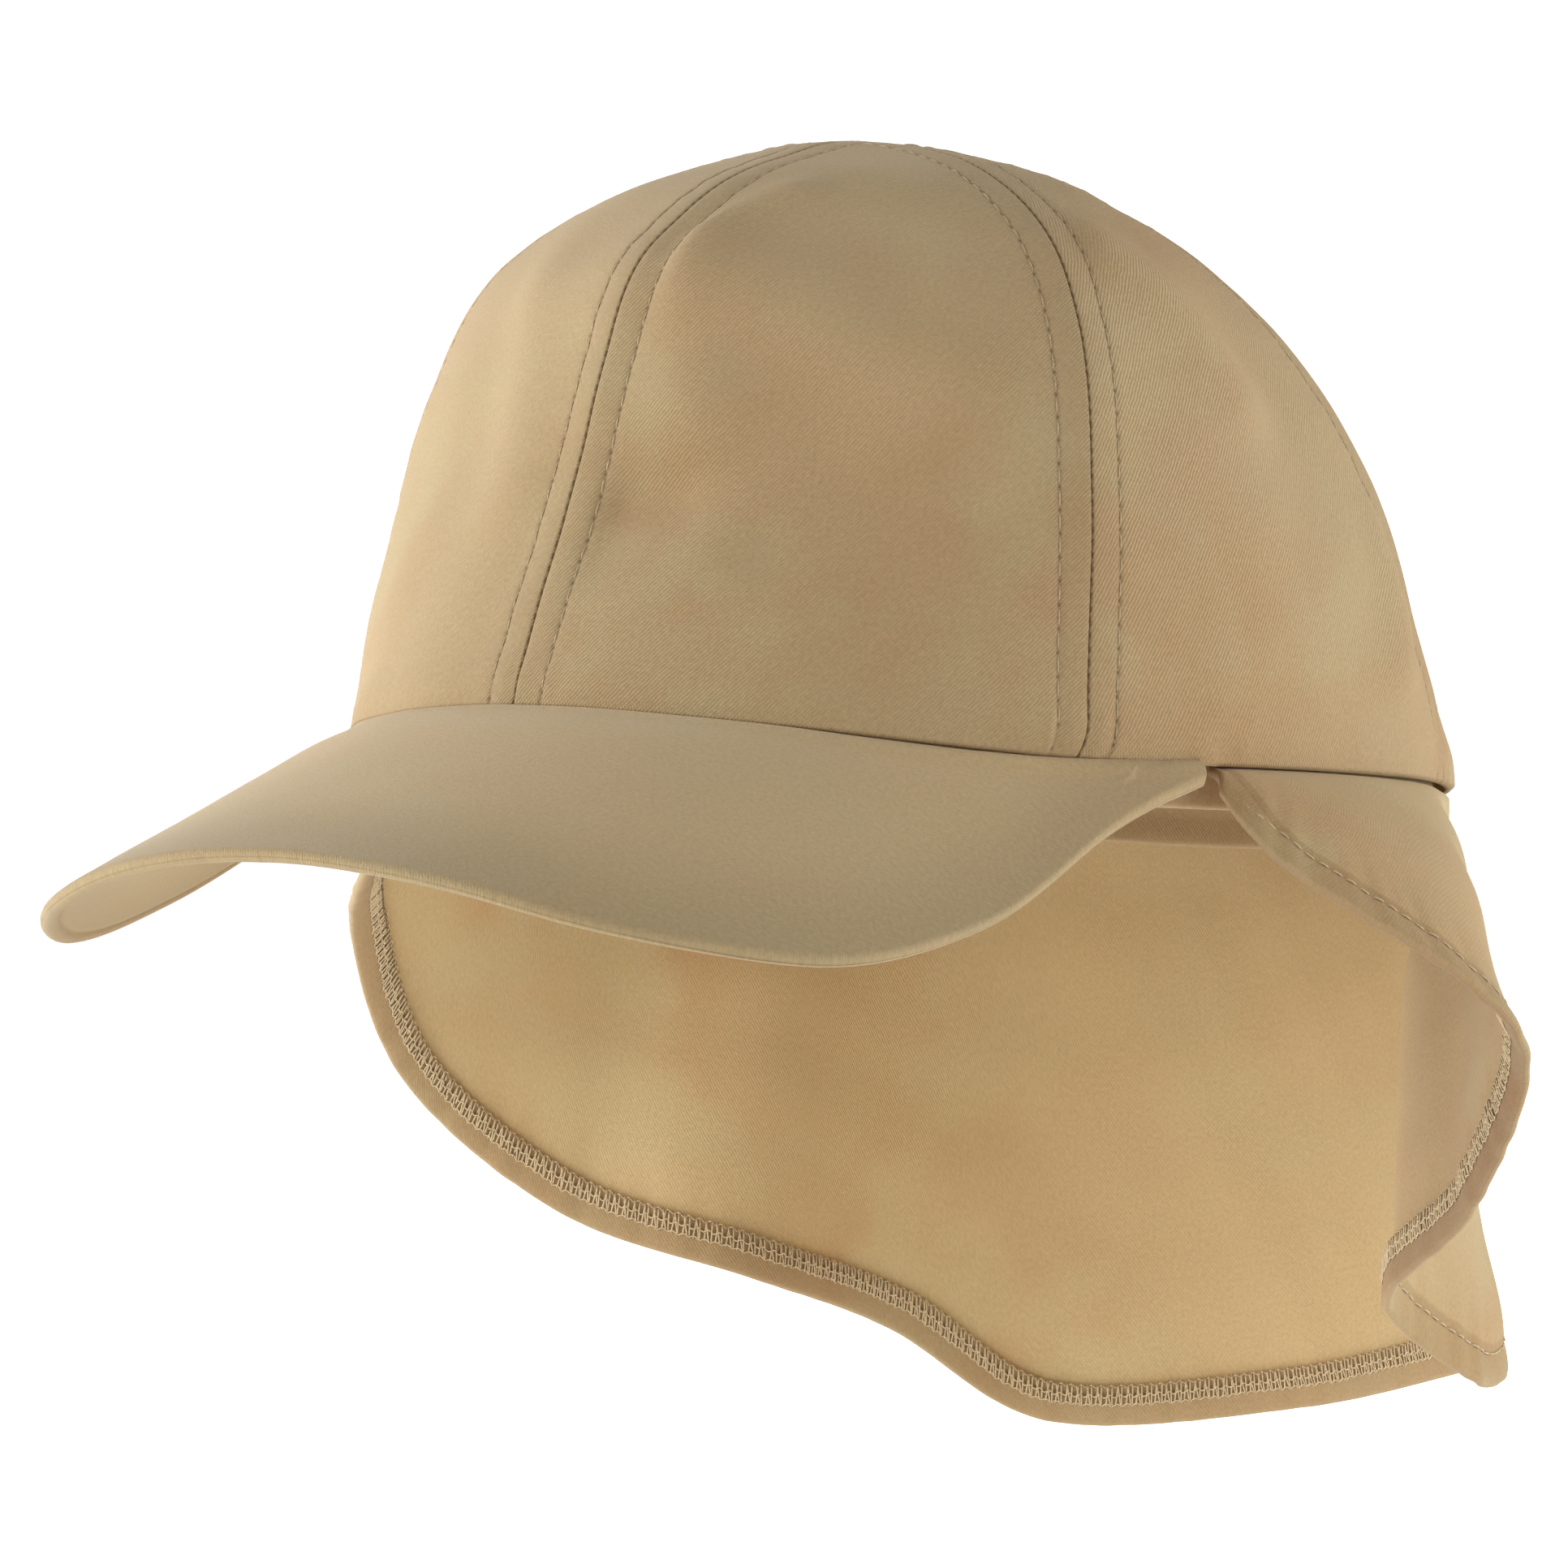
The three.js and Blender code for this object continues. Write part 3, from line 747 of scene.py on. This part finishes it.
def peak_point(across, ahead):
    root = rim_point(across * peak_corner_angle, root_inset, 0)
    corner_back = rim_half_length * math.cos(math.radians(peak_corner_angle))
    share = np.abs(across)
    edge_x = np.sign(across) * rim_half_width * read_table(peak_outline["out"], share)
    forward = read_table(peak_outline["ahead"], share)
    edge_y = -(corner_back + (rim_half_length + peak_reach - corner_back) * forward)
    x = root[..., 0] + (edge_x - root[..., 0]) * ahead
    y = root[..., 1] + (edge_y - root[..., 1]) * ahead
    seated = root[..., 2] - peak_seat_gap - peak_thickness / 2 - peak_field(root[..., 0], root[..., 1])
    from_root = np.hypot(x - root[..., 0], y - root[..., 1])
    fade = np.maximum(1 - from_root / peak_seat_reach, 0) ** 2
    # The seam holds the cover up against the crown
    press = press_height + corner_press * share**2
    pressed = press * (bell(from_root - press_place, press_width) - bell(press_place, press_width))
    return np.stack([x, y, peak_field(x, y) + seated * fade + pressed], -1)


half_spread = np.pi / 2 * column_bunching
peak_across = np.sin(np.linspace(-1, 1, peak_columns) * half_spread) / math.sin(half_spread)
edge_line = peak_point(peak_across, np.ones(peak_columns))
root_line = peak_point(peak_across, np.zeros(peak_columns))
peak_length = np.linalg.norm(edge_line - root_line, axis=-1)
edge_rows = np.array([7.0, 5.4, 4.2, 3.4, 2.9, 2.6, 2.3, 1.9, 1.4, 1.0, 0.65, 0.35, 0.15, 0.03, 0.0])
edge_rows = edge_rows * np.minimum(1, peak_length * 0.75 / edge_rows[0])[:, None]
inland = np.linspace(1, 0, 34)[:-1]
from_edge = edge_rows[:, :1] + (peak_length[:, None] - edge_rows[:, :1]) * inland
from_edge = np.concatenate([from_edge, edge_rows], axis=1)
columns_across = np.broadcast_to(peak_across[:, None], from_edge.shape)
peak_grid = peak_point(columns_across, 1 - from_edge / peak_length[:, None])
peak_up = unit(np.cross(np.gradient(peak_grid, axis=1), np.gradient(peak_grid, axis=0)))
nose = peak_thickness / 2
rounding = round_off(from_edge, nose)
swell = 0.12 * soft_waves(peak_grid, 45, 21) + 0.05 * soft_waves(peak_grid, 17, 22)
top_face = peak_grid + peak_up * (nose * rounding + swell * rounding)[..., None]
seam_under = cover_seam_depth * bell(from_edge - cover_seam_place, 0.4) * rounding
under_face = peak_grid - peak_up * (nose * rounding - seam_under - swell * rounding * 0.5)[..., None]
peak_skin = np.concatenate([top_face, under_face[:, ::-1]], axis=1)
edge_along = np.broadcast_to(lengths_along(edge_line)[:, None], from_edge.shape)
peak_laid = peak_grid[..., :2]
peak_beside = np.stack([from_edge, edge_along], -1)
peak_piece = closed_cloth("peak_cover", peak_skin, both_faces(peak_laid), both_faces(peak_beside))
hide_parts("peak")

peak_finish, tree, cloth = shader_tree("peak_twill")
from_edge_at, along_edge = map_places(tree, "edge_mm")
twill = place_twill(tree, (0.56, 0.405, 0.208), (0.565, 0.39, 0.19), (0.535, 0.41, 0.218), 0.6, 0.12)
edge = place_group(tree, fold_group, {"From Edge": from_edge_at, "Along": along_edge, "Reach": 1.3})
# Painted highlight: the cover is made a little paler along its folded edge
colour = mix_colours(tree, times(tree, edge["Fold Highlight"], 0.05), twill["Color"], (0.55, 0.45, 0.25, 1))
# Painted shade: the cover is made a little darker towards its edge
painted_shade_reach = 26.0
colour = shaded(tree, colour, ramp(tree, from_edge_at, 0.0, painted_shade_reach, 0.80, 1.0))
height = calc(tree, "MULTIPLY_ADD", edge["Height"], 0.25, twill["Height"])
finish_cloth(tree, cloth, colour, height, twill["Roughness"], 0.7, 0.3)
dress(peak_piece, peak_finish)


# Neck flap. One length of single cloth, sewn into the rim from one corner of the peak round the back to the
# other. Its edge is overlocked, turned to the inside and sewn down with one row, and it hangs free.
flap_drop = 100.0
flap_cloth = 0.7
flap_tuck = 3.0
flap_flush = 2.5
flush_reach = 20.0
flap_start = 0.009
hem_width = 6.4
hem_row = 4.9
hem_stitch = 2.5
hem_fold_radius = 0.7
overlock_pitch = 1.65
overlock_edge = 3.25
overlock_chain = 4.9
thread_stops_short = 3.0
flap_columns = 420
# Columns of the flap at which the flared front ends, and what marks the inner face in the distance along it
flared_stations = 5
inside_mark = 1000
flap_stations = {
    "rim_angle": (75.6, 83, 92, 101, 110, 122, 138, 158, 180),
    "out": (0.945, 1.146, 1.389, 1.399, 1.14, 0.806, 0.757, 0.563, 0.0),
    "back": (-0.258, -0.253, -0.052, 0.104, 0.259, 0.428, 0.758, 1.016, 1.14),
    "left_drop": (0.012, 0.123, 0.279, 0.407, 0.628, 0.777, 0.91, 0.903, 0.992),
    "right_drop": (0.012, 0.161, 0.271, 0.494, 0.691, 0.788, 0.879, 1.028, 0.99),
    "swell": (0.0, 0.029, 0.059, 0.081, 0.086, -0.011, -0.003, 0.007, 0.01),
}


def climb_at(height):
    """The climb of a place a little above the rim."""
    return height / crown_height / crown_sections["rise"][1] / (len(crown_sections["rise"]) - 1)


def round_the_back(left, right):
    """The stations from the wearer's left corner round the back to the right one."""
    return np.concatenate([left, np.asarray(right, float)[-2::-1]])


stations = {key: np.array(column, float) for key, column in flap_stations.items()}
flap_table = {
    "rim_angle": round_the_back(stations["rim_angle"], 360 - stations["rim_angle"]),
    "out": round_the_back(stations["out"], -stations["out"]),
    "back": round_the_back(stations["back"], stations["back"]),
    "drop": round_the_back(stations["left_drop"], stations["right_drop"]),
    "swell": round_the_back(stations["swell"], stations["swell"]),
}


def flap_point(around, down):
    around, down = np.broadcast_arrays(np.asarray(around, float), np.asarray(down, float))
    read = {key: read_table(column, around) for key, column in flap_table.items()}
    top = rim_point(read["rim_angle"], root_inset, 0)
    scale = [rim_half_width, rim_half_length, -flap_drop]
    hem = np.stack([read["out"], read["back"], read["drop"]], -1) * scale
    point = top + (hem - top) * down[..., None]
    outward = unit(point * [1, 1, 0])
    # down * (1 - down)**2 is 4 / 27 where the belly is fullest
    belly = rim_half_width * read["swell"] * (27 / 4) * down * (1 - down) ** 2
    # The seam's bulk pushes the cloth out flush with the crown just below the rim
    below = np.linalg.norm(hem - top, axis=-1) * down
    flush = flap_flush * (1 - np.exp(-below / 0.5)) * bell(below, flush_reach)
    return point + outward * (belly + flush)[..., None]


# Length along the hem from the wearer's left corner, against the place around
around_steps = np.linspace(flap_start, 1 - flap_start, 3001)
hem_lengths = lengths_along(flap_point(around_steps, 1.0))


def around_at(length):
    return np.interp(length, hem_lengths, around_steps)


def hem_reach(around):
    """Length of a column of the flap, and how much of it crosses one mm of hem."""
    step = 0.0015
    top, hem = flap_point(around, 0.0), flap_point(around, 1.0)
    before = flap_point(np.maximum(around - step, 0), 1.0)
    after = flap_point(np.minimum(around + step, 1), 1.0)
    falling = unit(hem - flap_point(around, 0.93))
    slant = np.linalg.norm(np.cross(falling, unit(after - before)), axis=-1)
    return np.linalg.norm(hem - top, axis=-1), 1 / np.clip(slant, 0.45, 1)


def flap_surface(around, from_hem, lift):
    """A point of the flap at a distance from its hem in mm, lifted outwards (or inwards where negative)."""
    around, from_hem, lift = np.broadcast_arrays(*(np.asarray(v, float) for v in (around, from_hem, lift)))
    length, reach = hem_reach(around)
    down = np.clip(1 - from_hem * reach / length, 0, 1)
    side_step = 0.002
    down_step = 0.02
    low = np.clip(down - down_step / 2, 0, 1 - down_step)
    left = flap_point(np.clip(around - side_step, 0, 1), down)
    along = flap_point(np.clip(around + side_step, 0, 1), down) - left
    falling = flap_point(around, low + down_step) - flap_point(around, low)
    outward = unit(np.cross(falling, along))
    spot = flap_point(around, down)
    along_hem = np.interp(around, around_steps, hem_lengths)
    # The cloth swells where it is free of its seam and its hem, and puckers along the hem's row
    free = ease(0, 12, from_hem) * ease(0, 14, length * down)
    swell = (0.55 * soft_waves(spot, 42, 31) + 0.2 * soft_waves(spot, 17, 32)) * free
    pucker = 0.09 * np.sin(2 * np.pi * along_hem / 8.3 + 1.7 * np.sin(along_hem / 13))
    pucker = pucker + 0.07 * np.sin(2 * np.pi * along_hem / 5.1 + 1.1 * np.sin(along_hem / 7))
    swell = swell + pucker * (1 - ease(5, 16, from_hem)) * ease(0, 10, length * down)
    return spot + outward * (lift + swell)[..., None]


shares = np.linspace(0, 1, flap_columns)
even = around_at(shares * hem_lengths[-1])
around = even[:, None]
length, reach = hem_reach(even)
hem_rows = np.array([
    14, 11.5, 9.5, 8.2, 7.4, 6.9, 6.5, 6.3, 6.0, 5.6, 5.2,
    4.9, 4.6, 4.2, 3.6, 2.9, 2.1, 1.4, 0.8, 0.4, 0.15, 0.03,
])
full = length / reach
fit = np.minimum(1, full * 0.8 / hem_rows[0])[:, None]
body_rows = np.linspace(1, 0, 46)[:-1]
first_row = hem_rows[0] * fit
rows = np.concatenate([first_row + (full[:, None] - first_row) * body_rows, hem_rows * fit], axis=1)
turned_in = flap_cloth * 2 + 0.1
nose_in = hem_fold_radius * (1 - round_off(rows, hem_fold_radius))
stitched = -0.14 * bell(rows - hem_row, 0.4) - 0.07 * bell(rows - hem_row, 1.6)
puffed = 0.12 * bell(rows - 2.2, 1.5)
outer = flap_surface(around, rows, stitched + puffed - nose_in)
step_in = 1 - ease(hem_width - 0.15, hem_width + 0.15, rows)
wall = flap_cloth + (turned_in - flap_cloth) * step_in
drawn_in = 0.2 * bell(rows - hem_row, 0.5)
inner = flap_surface(around, rows, -wall - puffed * 1.4 * step_in + nose_in * 1.05 + drawn_in)
tuck_angle = read_table(flap_table["rim_angle"], even)
tuck_climb = np.full(flap_columns, climb_at(flap_tuck))
tuck_out = crown_form(tuck_angle, tuck_climb) - crown_outward(tuck_angle, tuck_climb) * root_inset
tuck_in = tuck_out - crown_outward(tuck_angle, tuck_climb) * flap_cloth
flap_skin = np.concatenate([tuck_out[:, None], outer, inner[:, ::-1], tuck_in[:, None]], axis=1)
flap_across = np.broadcast_to((shares * hem_lengths[-1])[:, None], rows.shape)
laid = np.stack([flap_across, rows], -1)
beside = np.stack([rows, flap_across], -1)
laid, beside = (np.concatenate([grid[:, :1], grid], axis=1) for grid in (laid, beside))
# On the inside the distance along the hem is counted below nought, which tells the two faces apart
beside = np.concatenate([beside, (beside - [0, inside_mark])[:, ::-1]], axis=1)
flap_piece = closed_cloth("neck_flap_cloth", flap_skin, both_faces(laid), beside)
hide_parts("neck_flap")

# The row that holds the hem, seen outside
hem_starts = np.arange(thread_stops_short, hem_lengths[-1] - thread_stops_short, hem_stitch)
hem_stretch = hem_starts[:, None] + np.linspace(0.2, hem_stitch - 0.2, len(dive))
hem_around = around_at(hem_stretch)
hem_fit = np.interp(hem_around, even, fit[:, 0])
hem_runs = flap_surface(hem_around, hem_row * hem_fit, dive - 0.08)
hem_stitching = threads("hem_topstitching", hem_runs, 0.14)

# The overlock on the raw edge inside: a scalloped looper thread, threads that cross to the raw edge and wrap
# over it, and a chain along the middle
draw = np.random.default_rng(8)
loop_starts = np.arange(2.0, hem_lengths[-1] - 2, overlock_pitch)


def on_hem_inside(along, from_hem, lift):
    where = around_at(along)
    shrink = np.interp(where, even, fit[:, 0])
    return flap_surface(where, from_hem * shrink, -(turned_in + 0.1 + lift))


uneven = draw.uniform(-0.14, 0.14, (len(loop_starts) + 1, 1))
t = np.linspace(0, 1, 9)
loop_along = loop_starts[:, None] + overlock_pitch * t
scallop_level = overlock_edge + 0.42 * np.sin(np.pi * t) + uneven[:-1] * (1 - t) + uneven[1:] * t
scallops = on_hem_inside(loop_along, scallop_level, 0.12)
cross_runs = []
for lean, shift in ((0.1, 0.0), (0.75, 0.12), (-0.35, 0.62)):
    lean_by = lean + draw.uniform(-0.12, 0.12, (len(loop_starts), 1))
    begin = loop_starts[:, None] + overlock_pitch * shift + draw.uniform(-0.1, 0.1, (len(loop_starts), 1))
    level = overlock_edge + 0.1 + (hem_width - overlock_edge + 0.05) * t
    lift = 0.1 + 0.1 * np.sin(np.pi * t) - 0.35 * (t > 0.95)
    cross_runs.append(on_hem_inside(begin + lean_by * t, level + uneven[:-1] * (1 - t), lift))
chain_level = overlock_chain + 0.22 * np.sin(2 * np.pi * t) + uneven[:-1] * 0.5
chain = on_hem_inside(loop_along, chain_level, 0.2 + 0.08 * np.sin(np.pi * t))
edge_level = hem_width - 0.1 + 0.2 * np.sin(2 * np.pi * t + 0.6)
edge_loops = on_hem_inside(loop_along, edge_level, -0.12 + 0.14 * np.cos(2 * np.pi * t))
overlock = threads("hem_overlock", np.concatenate([scallops, *cross_runs, chain, edge_loops]), 0.135, 5)

# Where the cloth is single the light comes through and warms its inside, which is painted in as a warmer,
# lighter tint; a painted shade dims it at the flared front, and a painted shade greys the doubled hem
through_tint = (1.135, 1.06, 1.01, 1)
flared_shade_tint = (0.80, 0.79, 0.84, 1)
painted_hem_shade_outside = (0.86, 0.83, 0.79, 1)
painted_hem_shade_inside = (0.71, 0.67, 0.67, 1)
flap_finish, tree, cloth = shader_tree("flap_twill")
from_hem_at, along_hem_at = map_places(tree, "edge_mm")
twill = place_twill(tree, (0.555, 0.425, 0.222), (0.515, 0.34, 0.165), (0.555, 0.446, 0.239), 1.0, 0.25)
inside = ramp(tree, along_hem_at, -5.0, 0.0, 1.0, 0.0)
lit_through = tinted(tree, twill["Color"], through_tint)
flared_share = flared_stations / (len(flap_table["out"]) - 1)
flared_end = float(np.interp(flared_share, around_steps, hem_lengths)) - inside_mark
# Painted shade: the inside of the flared front is dimmed
flared = ramp(tree, along_hem_at, flared_end - 15, flared_end + 5, 1.0, 0.0)
lit_through = mix_colours(tree, flared, lit_through, tinted(tree, lit_through, flared_shade_tint))
single = mix_colours(tree, inside, twill["Color"], lit_through)
# Painted shade: the doubled hem is greyed, more on the inside
doubled = ramp(tree, from_hem_at, hem_width - 0.4, hem_width + 0.3, 1.0, 0.0)
painted_hem_shade = mix_colours(tree, inside, painted_hem_shade_outside, painted_hem_shade_inside)
colour = mix_colours(tree, doubled, single, tinted(tree, single, painted_hem_shade))
# The flap has no joint to show, only the hem's row
sewn = place_group(tree, row_group, {
    "From Edge": from_hem_at,
    "Along": along_hem_at,
    "Joint Shade": 1.0,
    "Row": hem_row,
    "Pitch": hem_stitch,
    "Hole Shade": 0.7,
})
colour = shaded(tree, colour, sewn["Shade"])
edge = place_group(tree, fold_group, {"From Edge": from_hem_at, "Along": along_hem_at, "Reach": 0.5})
# Painted highlight: the hem's fold is made paler
colour = mix_colours(tree, times(tree, edge["Fold Highlight"], 0.15), colour, (0.60, 0.47, 0.28, 1))
finish_cloth(tree, cloth, colour, twill["Height"], twill["Roughness"], 0.4, 0.2)
dress(flap_piece, flap_finish)
hem_thread = thread_material("hem_thread", (0.66, 0.51, 0.29))
dress(hem_stitching, hem_thread)
dress(overlock, hem_thread)


# Inner band. A folded strip of the same twill sewn inside the rim, which covers the seam allowances and
# hangs a few millimetres below the seam.
band_height = 22.0
band_cloth = 1.0
band_hang = 6.0
band_inset = 4.0
layer_gap = 0.5
band_columns = 300
band_mm_per_degree = 1.41
band_angles = np.arange(band_columns) * 360 / band_columns
# Levels up from the band's lower fold, and how far both faces draw together at each
band_levels = np.array([0.0, 0.35, 0.9, 2.2, 4.0, band_hang])
band_rounding = np.array([0.45, 0.15, 0, 0, 0, 0])


def band_face(wall, rounding):
    hang = []
    for level, drawn in zip(band_levels, rounding):
        inset = band_inset + layer_gap * (1 - level / band_hang) + wall + drawn
        hang.append(rim_point(band_angles, inset, band_hang - level))
    for share in np.linspace(0.06, 1, 16):
        climb = np.full(band_columns, climb_at(share * band_height))
        hang.append(crown_form(band_angles, climb) - crown_outward(band_angles, climb) * (band_inset + wall))
    grid = np.stack(hang, 1)
    wrinkle = 0.3 * soft_waves(grid * [1, 1, 0.35], 21, 41) + 0.12 * soft_waves(grid, 9, 42)
    return grid + unit(grid * [1, 1, 0]) * wrinkle[..., None]


band_outer = band_face(0, band_rounding)
band_inner = band_face(band_cloth, -band_rounding)
band_skin = np.concatenate([band_outer[:, ::-1], band_inner], axis=1)
band_along = np.broadcast_to((band_angles * band_mm_per_degree)[:, None], band_outer.shape[:2])
from_fold = np.abs(band_outer[..., 2] - band_outer[:, :1, 2])
band_laid = np.stack([band_along, band_outer[..., 2]], -1)
band_beside = np.stack([from_fold, band_along], -1)
down_and_up = [np.concatenate([grid[:, ::-1], grid], axis=1) for grid in (band_laid, band_beside)]
band_piece = closed_cloth("inner_band_cloth", band_skin, *down_and_up, ring=True)
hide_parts("inner_band")

band_finish, tree, cloth = shader_tree("band_twill")
from_fold_at, along_band = map_places(tree, "edge_mm")
twill = place_twill(tree, (0.42, 0.285, 0.145), (0.42, 0.27, 0.135), (0.40, 0.30, 0.165), 0.5, 0.4)
edge = place_group(tree, fold_group, {"From Edge": from_fold_at, "Along": along_band, "Reach": 0.45})
# Painted highlight: the band's lower fold is made paler
colour = mix_colours(tree, times(tree, edge["Fold Highlight"], 0.6), twill["Color"], (0.62, 0.46, 0.28, 1))
finish_cloth(tree, cloth, colour, twill["Height"], twill["Roughness"], 0.4, 0.15)
dress(band_piece, band_finish)


# Studio. A plain white floor well below the cap, which is held up as on a head, white behind it, and soft
# lights all round. The strongest stands behind the cap on the picture's left. Sizes here are in metres.
floor_drop = 0.16
floor_half = 30
paper_glow = 0.38
paper_glow_seen = 0.9
sky_at_sides = 0.41
sky_overhead = 0.1
backdrop_glow = 1.15
light_distance = 1.5
light_size = 1.1

floor_mesh = bpy.data.meshes.new("floor")
around_floor = ((-1, -1), (1, -1), (1, 1), (-1, 1))
floor_corners = [(x * floor_half, y * floor_half, -floor_drop) for x, y in around_floor]
floor_mesh.from_pydata(floor_corners, [], [(0, 1, 2, 3)])
floor = bpy.data.objects.new("floor", floor_mesh)
bpy.context.scene.collection.objects.link(floor)
floor_finish, tree, paper = shader_tree("floor_paper")
set_values(paper, {"Base Color": (0.9, 0.9, 0.9, 1), "Emission Color": (1, 1, 1, 1)})
set_values(paper, {"Roughness": 0.9, "Specular IOR Level": 0.0})
seen = add_node(tree, "ShaderNodeLightPath")
glows = ramp(tree, seen.outputs["Is Camera Ray"], 0, 1, paper_glow, paper_glow_seen)
tree.links.new(glows, paper.inputs["Emission Strength"])
dress(floor, floor_finish)

world = bpy.data.worlds.new("studio")
bpy.context.scene.world = world
world.use_nodes = True
tree = world.node_tree
seen = add_node(tree, "ShaderNodeLightPath")
glow = tree.nodes["Background"]
glow.inputs["Color"].default_value = (1, 1, 1, 1)
# The light from above is weaker than from the sides
sky = add_node(tree, "ShaderNodeTexCoord").outputs["Generated"]
upward = add_node(tree, "ShaderNodeSeparateXYZ", i0=sky).outputs[2]
tree.links.new(ramp(tree, upward, 0.0, 0.9, sky_at_sides, sky_overhead), glow.inputs["Strength"])
white = add_node(tree, "ShaderNodeBackground", i0=(1, 1, 1, 1), i1=backdrop_glow)
seen_directly = seen.outputs["Is Camera Ray"]
either = add_node(tree, "ShaderNodeMixShader", i0=seen_directly, i1=glow.outputs[0], i2=white.outputs[0])
tree.links.new(either.outputs[0], tree.nodes["World Output"].inputs["Surface"])


def soft_light(name, azimuth, elevation, power, tint):
    """A square softbox that faces the cap."""
    way = way_out(azimuth, elevation)
    data = bpy.data.lights.new(name, "AREA")
    data.shape = "SQUARE"
    data.size = light_size
    data.energy = power
    data.color = tint
    lamp = bpy.data.objects.new(name, data)
    facing = way.to_track_quat("Z", "Y").to_matrix().to_4x4()
    lamp.matrix_world = Matrix.Translation(way * light_distance) @ facing
    bpy.context.scene.collection.objects.link(lamp)


soft_light("left_low_softbox", -60, 8, 13.5, (0.95, 1.0, 1.12))
soft_light("left_softbox", -35, 21, 11.8, (1, 1, 1))
soft_light("right_softbox", 103, 27, 8.5, (0.97, 1.0, 1.06))
soft_light("back_right_softbox", 150, 8, 11, (1, 1, 1))
soft_light("back_left_softbox", -120, 5, 20, (1, 1, 1))

bpy.context.scene.view_settings.view_transform = "Standard"
bpy.context.scene.view_settings.look = "None"
